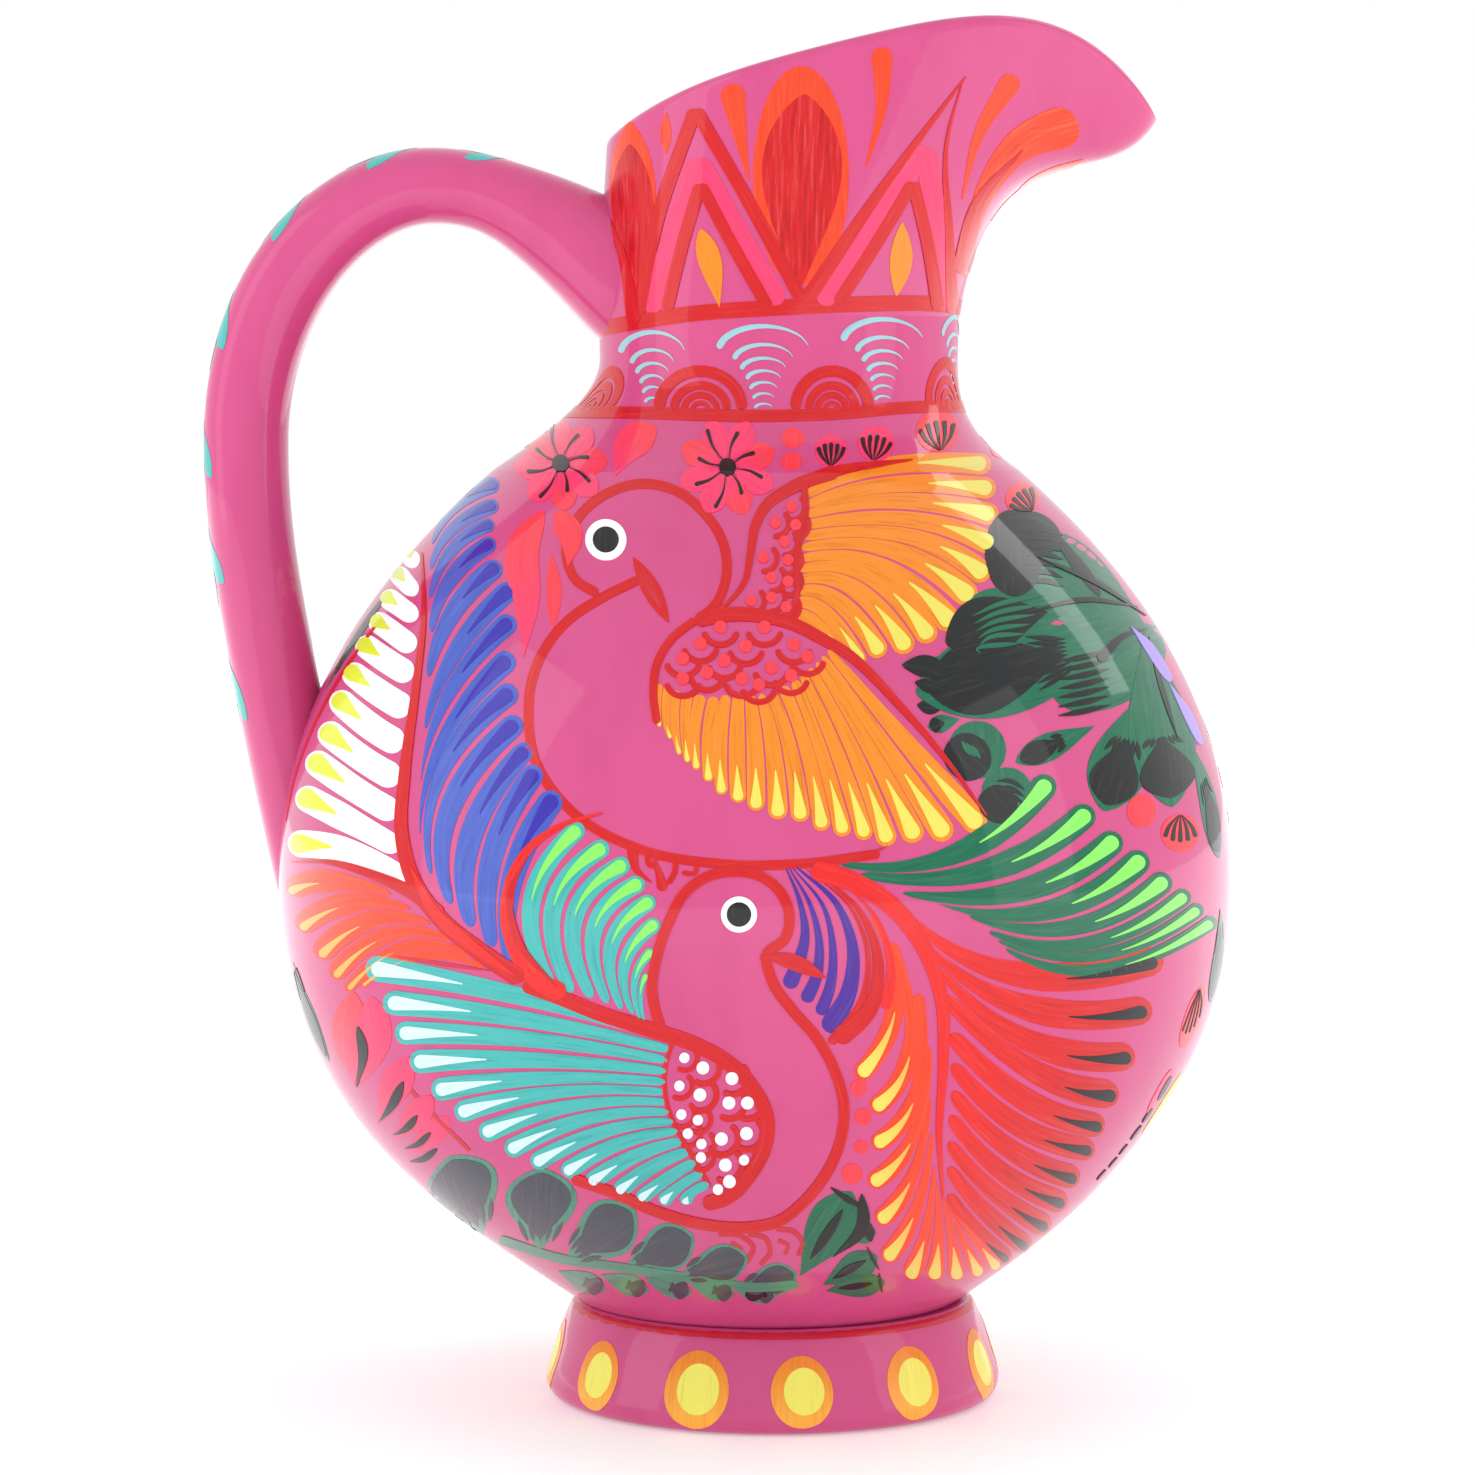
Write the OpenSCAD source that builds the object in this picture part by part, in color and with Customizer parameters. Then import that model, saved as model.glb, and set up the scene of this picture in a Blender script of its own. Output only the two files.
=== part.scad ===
// A painted clay pitcher, put together as a potter puts it together: a foot ring,
// two moulded half bowls, a neck collar, a pulled spout and a looped handle, with
// the clay coils that join them. Millimetres, +Z up, spout towards +X. The origin
// is the centre of the foot's underside.

/* [Foot] */
// Radius of the foot near the table
foot_r = 45.6; // [43:0.2:48]
// Radius of the foot where the bowl sits on it
foot_top_r = 40.8; // [40:0.2:42]
// Height of the foot ring
foot_h = 20; // [18:0.5:21]
// Radius of the recess under the foot
recess_r = 34; // [30:0.5:35]
// Radius of the rounded bottom edge
foot_edge_r = 2.5; // [1:0.5:4]
// Size of the clay coil in the corner between foot and bowl
foot_coil = 5; // [3:0.5:7]

/* [Body] */
// Widest radius of the body
belly_r = 95.3; // [92:0.1:98]
// Height of the widest place, where the two half bowls meet
belly_z = 105; // [100:1:110]
// Radius of the bowl where it leaves the foot
base_r = 37; // [36:0.5:39]
// Radius of the hole at the top of the upper bowl
shoulder_r = 52; // [50:0.5:54]
// Height of the shoulder, where the neck collar starts
shoulder_z = 186; // [182:1:190]
// How far the body's axis lies behind the foot's axis
body_shift = 3.5; // [0:0.5:4]
// Thickness of the clay wall
wall = 6; // [5:0.5:7]
// Thickness of the floor
floor_t = 7; // [6:0.5:9]
// Height of the coil pressed along the inside of the seam
seam_coil_h = 16; // [10:1:22]
// How far that coil stands in from the wall
seam_coil_t = 3; // [2:0.5:4]

/* [Neck and spout] */
// Radius of the neck at its narrowest
neck_r = 35.6; // [34:0.2:37]
// Height where the collar ends and the spout starts
neck_z = 216; // [214:1:218]
// How far the neck's axis lies in front of the foot's axis
neck_shift = 1.1; // [0:0.1:2]
// Thickness of the neck's wall
neck_wall = 5.5; // [5:0.5:6]
// Thickness of the lip
lip_t = 4.5; // [4:0.5:5]
// Back of the mouth, on the handle's side
mouth_back = -33; // [-34:0.5:-32]
// Tip of the beak
beak_tip = 76.6; // [72:0.2:80]
// Half the width of the mouth
mouth_half_w = 38; // [36:0.5:40]
// Height of the lip, averaged round the mouth
lip_z = 263.5; // [260:0.5:266]

/* [Handle] */
// Half thickness of the strap
strap_half_t = 8.2; // [7.5:0.1:9]
// Half width of the strap
strap_half_w = 10; // [9:0.5:12]
// How far out the handle reaches, to the middle of the strap
handle_reach = 105; // [103:0.5:107]
// Height of the top of the loop, to the middle of the strap
handle_top = 242; // [240:0.5:244]

/* [Hidden] */

clay_paint = [0.82, 0.22, 0.5];
bare_clay = [0.72, 0.45, 0.32];
turn_fn = 96;
ring_n = 60;
rise_n = 14;
curve_n = 18;
strap_fn = 28;
slice_t = 0.2;
strap_steps = 22;
joint_steps = 9;

// Height where the neck is upright again, above the shoulder's sweep
upright_z = 208;

// Outlines of the two half bowls and the collar, as Bezier curves of radius and height
lower_curve = [[base_r, foot_h], [68, 40.7], [belly_r, 62.7], [belly_r, belly_z]];
upper_curve = [[belly_r, belly_z], [belly_r, 142], [72, 168.5], [shoulder_r, shoulder_z]];
neck_curve = [[shoulder_r, shoulder_z], [41, 193.4], [neck_r, 200], [neck_r, upright_z]];

// The handle's middle line: over the top, down the back, and into the body
over_top = [[-26, 222], [-40, 232], [-52, handle_top], [-68, handle_top]];
down_back = [[-68, handle_top], [-87, handle_top], [-handle_reach, 219], [-handle_reach, 192]];
to_body = [[-handle_reach, 192], [-handle_reach, 168], [-99, 140], [-91, 104]];
handle_path = [over_top, down_back, to_body];
// The strap's size along that line, as a share of its full size
thick_share = [[0, 1.7], [0.35, 1.25], [0.7, 0.93], [1, 0.93], [1.6, 1.02], [3, 1.02]];
width_share = [[0, 1.7], [0.35, 1.25], [0.7, 1], [2, 1], [2.5, 1.1], [3, 1.35]];
// Where along that line the strap meets its two roots
top_split = 0.5;
top_root_end = 0.496;
bottom_split = 2.52;
tail_start = 2.522;
// How fast the inside of the wall curves away from the seam, above and below it
seam_bend = 0.006;
// How much the mouth narrows towards the beak, as a share of its width
beak_narrowing = 0.36;

function mix(a, b, t) = a + (b - a) * t;
function bezier(p, t) =
    pow(1 - t, 3) * p[0] + 3 * pow(1 - t, 2) * t * p[1] + 3 * (1 - t) * t * t * p[2] + pow(t, 3) * p[3];
function bezier_dir(p, t) =
    pow(1 - t, 2) * (p[1] - p[0]) + 2 * (1 - t) * t * (p[2] - p[1]) + t * t * (p[3] - p[2]);
function unit(v) = v / norm(v);
// The point of a wall's inner face across from a point of its outline
function inner(p, t, thick) =
    let (d = unit(bezier_dir(p, t))) bezier(p, t) + thick * [-d[1], d[0]];

function outer_line(p) = [for (i = [0:curve_n]) bezier(p, i / curve_n)];
function inner_line(p, thick) = [for (i = [0:curve_n]) inner(p, i / curve_n, thick)];
function backwards(list) = [for (i = [len(list) - 1:-1:0]) list[i]];

// A closed wall from rings of points: each ring goes round the axis, and the last
// ring joins the first
module ring_wall(rings) {
    loops = len(rings);
    n = len(rings[0]);
    faces = [
        for (j = [0:loops - 1]) for (i = [0:n - 1])
            let (k = (j + 1) % loops, m = (i + 1) % n)
            for (tri = [[j * n + i, j * n + m, k * n + m], [j * n + i, k * n + m, k * n + i]]) backwards(tri)
    ];
    polyhedron(points = [for (ring = rings) for (p = ring) p], faces = faces, convexity = 6);
}

// The whole outside of the body as one solid of revolution
module body_envelope() {
    outline = concat([[0, foot_h]], outer_line(lower_curve), outer_line(upper_curve), [[0, shoulder_z]]);
    translate([-body_shift, 0, 0]) rotate_extrude($fn = turn_fn) polygon(outline);
}

module foot_ring() {
    color(clay_paint)
    rotate_extrude($fn = turn_fn)
    union() {
        polygon([
            [recess_r, 0], [foot_r - foot_edge_r, 0], [foot_r, foot_edge_r], [foot_r - 0.4, 5.8],
            [foot_r - 1.6, 9.8], [foot_top_r + 2, 13.8], [foot_top_r, 17.8], [foot_top_r, foot_h],
            [recess_r, foot_h]
        ]);
        translate([foot_r - foot_edge_r, foot_edge_r]) circle(r = foot_edge_r, $fn = 32);
    }
}

module foot_joint_coil() {
    steps = 8;
    arc = [
        for (i = [0:steps])
            let (a = 90 * i / steps)
            [recess_r - foot_coil * (1 - sin(a)), foot_h - foot_coil * (1 - cos(a))]
    ];
    color(bare_clay)
    rotate_extrude($fn = turn_fn)
    polygon(concat([[recess_r, foot_h]], backwards(arc)));
}

module lower_bowl() {
    floor_z = foot_h + floor_t;
    hollow = [for (p = inner_line(lower_curve, wall)) if (p[1] > floor_z) p];
    outline = concat([[0, foot_h]], outer_line(lower_curve), backwards(hollow), [[0, floor_z]]);
    color(clay_paint)
    translate([-body_shift, 0, 0])
    rotate_extrude($fn = turn_fn)
    polygon(outline);
}

module upper_bowl() {
    outline = concat(outer_line(upper_curve), backwards(inner_line(upper_curve, wall)));
    color(clay_paint)
    translate([-body_shift, 0, 0])
    rotate_extrude($fn = turn_fn)
    polygon(outline);
}

function wall_inside(z) = belly_r - wall - seam_bend * pow(z - belly_z, 2);

// A soft coil pressed along the inside of the seam between the half bowls
module seam_coil() {
    steps = 10;
    face = [
        for (i = [0:steps])
            let (a = -90 + 180 * i / steps, z = belly_z + seam_coil_h / 2 * sin(a))
            [wall_inside(z) - seam_coil_t * cos(a), z]
    ];
    back = [
        for (i = [0:steps])
            let (z = belly_z + seam_coil_h * (0.5 - i / steps))
            [wall_inside(z), z]
    ];
    color(bare_clay)
    translate([-body_shift, 0, 0])
    rotate_extrude($fn = turn_fn)
    polygon(concat(backwards(back), [for (i = [1:steps - 1]) face[steps - i]]));
}

// The neck's axis leans from the body's axis to its own as it rises
function neck_axis(z) =
    let (u = min(1, max(0, (z - shoulder_z) / (upright_z - shoulder_z))))
    mix(-body_shift, neck_shift, u * u * (3 - 2 * u));
function neck_ring(r, z, lean_z) =
    [for (i = [0:ring_n - 1]) let (a = 360 * i / ring_n) [neck_axis(lean_z) + r * cos(a), r * sin(a), z]];

module neck_collar() {
    rows = 9;
    top = [neck_r + 0.2, neck_z];
    outside = concat([for (i = [0:rows]) bezier(neck_curve, i / rows)], [top]);
    start = inner(upper_curve, 1, wall);
    inside = concat(
        [start], [for (i = [1:rows]) inner(neck_curve, i / rows, neck_wall)], [top - [neck_wall, 0]]
    );
    rings = concat(
        [for (i = [0:rows + 1]) neck_ring(outside[i][0], outside[i][1], outside[i][1])],
        [for (i = [rows + 1:-1:0]) neck_ring(inside[i][0], inside[i][1], outside[i][1])]
    );
    color(clay_paint)
    ring_wall(rings);
}

// How much of the beak's shape a direction takes: 1 at the tip, 0 at the back
function beakness(a) = pow((1 + cos(a)) / 2, 3);
function lip(a, inset) = [
    (mouth_back + beak_tip) / 2 + ((beak_tip - mouth_back) / 2 - inset) * cos(a),
    (mouth_half_w * (1 - beak_narrowing * pow((1 + cos(a)) / 2, 2)) - inset) * sin(a),
    lip_z + 5 * cos(a) - 8.5 * cos(2 * a) - 2.5 * cos(3 * a) - 1.5 * cos(4 * a)
];
// A line up the spout in direction a: it leaves the neck upright and runs out to the lip
function spout_line(a, neck_inset, lip_inset) =
    let (
        b = beakness(a),
        foot = [neck_shift + (neck_r + 0.2 - neck_inset) * cos(a), (neck_r + 0.2 - neck_inset) * sin(a), neck_z],
        edge = lip(a, lip_inset),
        third = (edge[2] - neck_z) / 3,
        rise = foot + [7 * b * cos(a), 7 * b * sin(a), mix(third, 42 + lip_inset / 2, b)],
        run = edge + [
            mix((foot[0] - edge[0]) / 3, -9.6, b),
            mix((foot[1] - edge[1]) / 3, 0, b),
            mix(-third, -18.5 + lip_inset, b)
        ]
    )
    [foot, rise, run, edge];
function spout_ring(t, neck_inset, lip_inset) =
    [for (i = [0:ring_n - 1]) bezier(spout_line(360 * i / ring_n, neck_inset, lip_inset), t)];

module spout() {
    rings = concat(
        [for (j = [0:rise_n]) spout_ring(j / rise_n, 0, 0)],
        [for (j = [rise_n:-1:0]) spout_ring(j / rise_n, neck_wall, lip_t)]
    );
    color(clay_paint)
    ring_wall(rings);
}

// One thin slice of the strap, at a place s along the handle's line
module strap_slice(s) {
    leg = min(2, floor(s));
    p = bezier(handle_path[leg], s - leg);
    d = bezier_dir(handle_path[leg], s - leg);
    translate([p[0], 0, p[1]])
    rotate([0, atan2(d[0], d[1]), 0])
    scale([strap_half_t * lookup(s, thick_share), strap_half_w * lookup(s, width_share), 1])
    cylinder(h = slice_t, r = 1, center = true, $fn = strap_fn);
}

module strap(from, to, steps) {
    for (i = [0:steps - 1])
        hull() {
            strap_slice(mix(from, to, i / steps));
            strap_slice(mix(from, to, (i + 1) / steps));
        }
}

module handle() {
    color(clay_paint)
    strap(top_split, bottom_split, strap_steps);
}

// The thick root where the strap is pressed onto the neck
module handle_top_joint() {
    color(clay_paint)
    difference() {
        strap(0, top_root_end, joint_steps);
        translate([neck_shift, 0, 190]) cylinder(h = 80, r = neck_r + 0.2, $fn = ring_n);
    }
}

// The tail of the strap, smoothed down along the body
module handle_bottom_joint() {
    color(clay_paint)
    difference() {
        strap(tail_start, 3, joint_steps);
        body_envelope();
    }
}

foot_ring();
foot_joint_coil();
lower_bowl();
seam_coil();
upper_bowl();
neck_collar();
spout();
handle();
handle_top_joint();
handle_bottom_joint();
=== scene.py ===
import math
import bpy
import numpy as np
from mathutils import Matrix, Vector


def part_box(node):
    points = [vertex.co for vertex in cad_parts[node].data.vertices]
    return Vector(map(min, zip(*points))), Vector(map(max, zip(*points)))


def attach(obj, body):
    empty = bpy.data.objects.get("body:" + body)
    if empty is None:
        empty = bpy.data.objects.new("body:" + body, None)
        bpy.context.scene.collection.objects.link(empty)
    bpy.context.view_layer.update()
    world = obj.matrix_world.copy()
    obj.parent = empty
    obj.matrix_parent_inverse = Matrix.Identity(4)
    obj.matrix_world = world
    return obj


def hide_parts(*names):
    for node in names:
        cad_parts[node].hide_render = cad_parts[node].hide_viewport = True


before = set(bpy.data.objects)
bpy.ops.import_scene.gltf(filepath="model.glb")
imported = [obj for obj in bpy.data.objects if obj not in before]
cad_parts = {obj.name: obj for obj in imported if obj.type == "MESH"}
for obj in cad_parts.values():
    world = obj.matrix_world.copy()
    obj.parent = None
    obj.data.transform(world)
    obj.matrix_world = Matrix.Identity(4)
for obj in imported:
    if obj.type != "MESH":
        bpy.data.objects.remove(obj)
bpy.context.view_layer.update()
mm = 0.001  # shapes are worked out in millimetres and put into meshes in metres

footHigh = np.array(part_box("foot_ring")[1]) / mm
lowerLow, lowerHigh = (np.array(c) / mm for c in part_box("lower_bowl"))
upperHigh = np.array(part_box("upper_bowl")[1]) / mm
spoutLow, spoutHigh = (np.array(c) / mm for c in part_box("spout"))

# the pitcher's sizes, the outer ones from the frame; wrapRadius is the ring that marks are measured round
pot = {
    "footRadius": footHigh[0], "footHeight": footHigh[2], "recess": 34.0,
    "bellyRadius": lowerHigh[1], "bellyHeight": lowerHigh[2], "bellyAxis": (lowerLow[0] + lowerHigh[0]) / 2,
    "baseRadius": 38.3, "shoulderRadius": 52.0, "shoulderHeight": upperHigh[2],
    "neckRadius": 35.6, "uprightHeight": 208.0, "neckHeight": spoutLow[2], "neckAxis": 1.1,
    "wall": 6.0, "neckWall": 5.5, "lip": 4.5, "floor": 7.0,
    "mouthBack": -33.0, "beakTip": spoutHigh[0], "mouthHalf": 38.0, "lipHeight": 263.5, "beakNarrowing": 0.36,
    "wrapRadius": 95.0,
}
table = {"step": 0.5, "top": 275, "halvings": 22}  # step in millimetres of height and degrees of azimuth
hand = {"from": 22, "to": 212, "fade": 20,
        "waves": ((0.16, 2, 31, 0.6), (0.12, 3, -19, -1.1), (0.06, 7, 11, 0))}  # height, count, rise, shift


def bezier(points, t):
    # the cubic curve (1-t)^3 a + 3(1-t)^2 t b + 3(1-t) t^2 c + t^3 d, for arrays of t
    a, b, c, d = (np.asarray(p, float) for p in points)
    t = np.asarray(t, float)[..., None]
    return (1 - t) ** 3 * a + 3 * (1 - t) ** 2 * t * b + 3 * (1 - t) * t * t * c + t ** 3 * d


def ease(x):
    # 0 below 0, 1 above 1, and 3x^2 - 2x^3 between
    x = np.clip(x, 0, 1)
    return x * x * (3 - 2 * x)


# outlines as radius and height: the same curves as the half bowls and the collar have
lowerLine = [(pot["baseRadius"], pot["footHeight"]), (68, 40.7), (pot["bellyRadius"], 62.7),
             (pot["bellyRadius"], pot["bellyHeight"])]
upperLine = [(pot["bellyRadius"], pot["bellyHeight"]), (pot["bellyRadius"], 142), (72, 168.5),
             (pot["shoulderRadius"], pot["shoulderHeight"])]
collarLine = [(pot["shoulderRadius"], pot["shoulderHeight"]), (41, 193.4), (pot["neckRadius"], 200),
              (pot["neckRadius"], pot["uprightHeight"])]
footLine = np.array([(pot["footRadius"] - 3.2, 0), (pot["footRadius"] - 0.9, 1), (pot["footRadius"], 3.2),
                     (pot["footRadius"] - 0.5, 6), (pot["footRadius"] - 1.8, 10), (42.6, 13.8),
                     (41.2, 17.4), (40.2, 19.2), (39.3, 19.9)])


def axisAt(z):
    # the middle of each level: the belly leans back from foot and neck, blended by ease()
    z = np.asarray(z, float)
    low = 1 - ease((z - pot["footHeight"]) / 38)
    high = ease((z - pot["shoulderHeight"]) / (pot["uprightHeight"] - pot["shoulderHeight"]))
    lean = pot["bellyAxis"] * (1 - high) * (1 - 0.75 * low) + pot["neckAxis"] * high
    return np.where(z < pot["footHeight"] - 0.01, 0, lean)


def lipPoint(phi, inset):
    # an ellipse along the mouth, narrowed to the beak, whose height is a cosine series of phi
    u = (1 + np.cos(phi)) / 2
    middle = (pot["mouthBack"] + pot["beakTip"]) / 2
    x = middle + ((pot["beakTip"] - pot["mouthBack"]) / 2 - inset) * np.cos(phi)
    y = (pot["mouthHalf"] * (1 - pot["beakNarrowing"] * u ** 2) - inset) * np.sin(phi)
    z = (pot["lipHeight"] + 5 * np.cos(phi) - 8.5 * np.cos(2 * phi) - 2.5 * np.cos(3 * phi)
         - 1.5 * np.cos(4 * phi))
    return np.stack([x, y, z], -1)


def spoutPoint(phi, t, inset, lipInset):
    # bezier() from the collar's circle to lipPoint(), swelling out under the beak
    b = ((1 + np.cos(phi)) / 2) ** 3
    ring = pot["neckRadius"] + 0.2 - inset
    start = np.stack([pot["neckAxis"] + ring * np.cos(phi), ring * np.sin(phi),
                      0 * phi + pot["neckHeight"]], -1)
    end = lipPoint(phi, lipInset)
    third = (end[..., 2] - pot["neckHeight"]) / 3
    rise = start + np.stack([7 * b * np.cos(phi), 7 * b * np.sin(phi),
                             third * (1 - b) + (42 + lipInset / 2) * b], -1)
    run = end + np.stack([(start[..., 0] - end[..., 0]) / 3 * (1 - b) - 9.6 * b,
                          (start[..., 1] - end[..., 1]) / 3 * (1 - b),
                          -third * (1 - b) + (lipInset - 18.5) * b], -1)
    return bezier((start, rise, run, end), t)


def buildTable():
    # radius about axisAt(z) at each height and azimuth, from the outlines and, above them, the spout
    heights = np.arange(0, table["top"], table["step"])
    turn = np.radians(np.arange(0, 360, table["step"]))
    dense = np.linspace(0, 1, 400)
    line = np.vstack([footLine, bezier(lowerLine, dense), bezier(upperLine, dense)[1:],
                      bezier(collarLine, dense)[1:], [(pot["neckRadius"] + 0.2, pot["neckHeight"])]])
    radii = np.repeat(np.interp(heights, line[:, 1], line[:, 0])[:, None], len(turn), 1)
    top = heights > pot["neckHeight"]
    level = heights[top][:, None]
    phi = np.repeat(turn[None, :], top.sum(), 0)
    low, high = np.zeros_like(phi), np.ones_like(phi)
    for _ in range(table["halvings"]):  # halving finds where each line up the spout crosses each level
        mid = (low + high) / 2
        below = spoutPoint(phi, mid, 0, 0)[..., 2] < level
        low, high = np.where(below, mid, low), np.where(below, high, mid)
    p = spoutPoint(phi, low, 0, 0)
    angle = np.unwrap(np.arctan2(p[..., 1], p[..., 0] - pot["neckAxis"]), axis=1)
    radius = np.hypot(p[..., 1], p[..., 0] - pot["neckAxis"])
    radii[top] = [np.interp(turn, np.r_[a - 2 * np.pi, a, a + 2 * np.pi], np.tile(r, 3))
                  for a, r in zip(angle, radius)]
    return heights, radii


tableHeights, radiusTable = buildTable()


def clayRadius(angle, z):
    # bilinear reading of the table, plus the hand's slight unevenness as a few slow sine waves
    around = radiusTable.shape[1]
    row = np.clip(z / table["step"], 0, len(tableHeights) - 1.001)
    col = np.mod(np.degrees(angle), 360) / table["step"]
    r0, c0 = row.astype(int), col.astype(int) % around
    fr, fc = row - r0, col - np.floor(col)
    c1 = (c0 + 1) % around
    plain = ((1 - fr) * ((1 - fc) * radiusTable[r0, c0] + fc * radiusTable[r0, c1])
             + fr * ((1 - fc) * radiusTable[r0 + 1, c0] + fc * radiusTable[r0 + 1, c1]))
    uneven = sum(high * np.sin(count * angle + z / rise + shift)
                 for high, count, rise, shift in hand["waves"])
    return plain + uneven * ease((z - hand["from"]) / hand["fade"]) * ease((hand["to"] - z) / hand["fade"])


def clayPoint(angle, z):
    # clayRadius() out from the middle of the level, towards the azimuth
    r = clayRadius(angle, z)
    return np.stack([axisAt(z) + r * np.cos(angle), r * np.sin(angle), z + 0 * r], -1)


def clayGap(p):
    # how far a point stands outside the clay, measured level
    dx = p[..., 0] - axisAt(p[..., 2])
    return np.hypot(dx, p[..., 1]) - clayRadius(np.arctan2(p[..., 1], dx), p[..., 2])


def clayNormal(p):
    # the slope of clayGap(), from the points 0.6 mm to each side
    steps = np.eye(3) * 0.6
    g = np.stack([clayGap(p + s) - clayGap(p - s) for s in steps], -1)
    return g / np.linalg.norm(g, axis=-1, keepdims=True)


def onClay(p):
    # the point moved level onto the clay
    return clayPoint(np.arctan2(p[..., 1], p[..., 0] - axisAt(p[..., 2])), p[..., 2])


view = {"eye": (-0.007, -0.983, 0.200), "target": (-0.0071, 0.0, 0.1323), "lens": 120.2, "sensor": 36}
lights = {
    "around": 1.0, "target": (0, 0, 0.13),
    "left": {"place": (-1.7, -0.55, 0.8), "size": (0.9, 1.8), "watts": 6},
    "right": {"place": (1.7, -0.7, 0.7), "size": (0.8, 1.6), "watts": 4},
    "strip": {"place": (0.72, 0.55, 0.95), "size": (0.95, 0.2), "watts": 1.5, "along": (0.75, 0, -0.66)},
}


def aim(obj, place, target, along=None):
    # looking at the target, with its own X axis along the given direction where there is one
    obj.location = place
    back = (Vector(place) - Vector(target)).normalized()
    if along is None:
        obj.rotation_euler = back.to_track_quat("Z", "Y").to_euler()
    else:
        side = (Vector(along) - back * back.dot(Vector(along))).normalized()
        obj.rotation_euler = Matrix((side, back.cross(side), back)).transposed().to_euler()


def makeStage():
    # the camera, three soft lamps, and an even white light from all round
    scene = bpy.context.scene
    camera = bpy.data.objects.new("camera", bpy.data.cameras.new("camera"))
    camera.data.lens = view["lens"]
    camera.data.sensor_width = view["sensor"]
    camera.data.clip_start = 0.01
    aim(camera, view["eye"], view["target"])
    scene.collection.objects.link(camera)
    scene.camera = camera
    for name in ("left", "right", "strip"):
        spec = lights[name]
        lamp = bpy.data.lights.new(name, "AREA")
        lamp.shape = "RECTANGLE"
        lamp.size, lamp.size_y = spec["size"]
        lamp.energy = spec["watts"]
        obj = bpy.data.objects.new(name, lamp)
        aim(obj, spec["place"], lights["target"], spec.get("along"))
        scene.collection.objects.link(obj)
    world = bpy.data.worlds.new("studio")
    world.use_nodes = True
    sky = world.node_tree.nodes["Background"]
    sky.inputs["Color"].default_value = (1, 1, 1, 1)
    sky.inputs["Strength"].default_value = lights["around"]
    scene.world = world
    scene.view_settings.view_transform = "Standard"


class Wire:
    # one output socket; + - * / with numbers or other wires add Math nodes
    def __init__(self, kit, socket):
        self.kit = kit
        self.socket = socket

    def math(self, operation, a, b):
        return self.kit.node("ShaderNodeMath", {"operation": operation}, {0: a, 1: b})

    def __add__(self, other):
        return self.math("ADD", self, other)

    def __radd__(self, other):
        return self.math("ADD", other, self)

    def __sub__(self, other):
        return self.math("SUBTRACT", self, other)

    def __rsub__(self, other):
        return self.math("SUBTRACT", other, self)

    def __mul__(self, other):
        return self.math("MULTIPLY", self, other)

    def __rmul__(self, other):
        return self.math("MULTIPLY", other, self)

    def clamp(self):
        return self.kit.node("ShaderNodeClamp", {}, {0: self})


class Paintbox:
    # a material under construction
    def __init__(self, name):
        self.material = bpy.data.materials.new(name)
        self.material.use_nodes = True
        self.tree = self.material.node_tree
        self.shader = self.tree.nodes["Principled BSDF"]

    def node(self, kind, settings=None, sockets=None, output=0):
        made = self.tree.nodes.new(kind)
        for key, value in (settings or {}).items():
            if key == "stops":
                ramp = made.color_ramp
                while len(ramp.elements) < len(value):
                    ramp.elements.new(0.5)
                for element, (place, colour) in zip(ramp.elements, value):
                    element.position, element.color = place, colour
            else:
                setattr(made, key, value)
        for key, value in (sockets or {}).items():
            self.put(made.inputs[key], value)
        return Wire(self, made.outputs[output])

    def put(self, socket, value):
        if isinstance(value, Wire):
            self.tree.links.new(value.socket, socket)
        else:
            socket.default_value = value

    def shade(self, **sockets):
        for key, value in sockets.items():
            self.put(self.shader.inputs[key.replace("_", " ")], value)
        return self.material

    def blend(self, share, a, b, how="MIX"):
        # colours: a where share is 0 and b where it is 1
        return self.node("ShaderNodeMix", {"data_type": "RGBA", "blend_type": how}, {0: share, 6: a, 7: b}, 2)

    def noise(self, where, scale, detail=3.0, rough=0.5):
        return self.node("ShaderNodeTexNoise", {}, {"Vector": where, "Scale": scale, "Detail": detail,
                                                    "Roughness": rough})

    def stretch(self, where, scale):
        return self.node("ShaderNodeMapping", {}, {"Vector": where, "Scale": scale})

    def place(self):
        return self.node("ShaderNodeTexCoord", {}, {}, "Object")

    def bump(self, height, strength, distance):
        return self.node("ShaderNodeBump", {}, {"Height": height, "Strength": strength, "Distance": distance})


def linear(red, green, blue):
    # a paint's screen colour from 0 to 255, as linear light with full cover
    c = np.array([red, green, blue]) / 255
    c = np.where(c > 0.04045, ((c + 0.055) / 1.055) ** 2.4, c / 12.92)
    return (*c.tolist(), 1.0)


varnish = {"Coat_Roughness": 0.05, "Specular_IOR_Level": 0.05}
glazeLook = {"plain": (201, 75, 129), "deep": (190, 64, 119), "pale": (210, 88, 140), "rough": 0.3,
             "coat": 0.65}
paintLook = {"rough": 0.3, "coat": 0.6, "relief": 0.15}
bareLook = {"plain": (176, 104, 72), "dark": (150, 84, 58), "grit": (204, 148, 112), "rough": 0.75}


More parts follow.
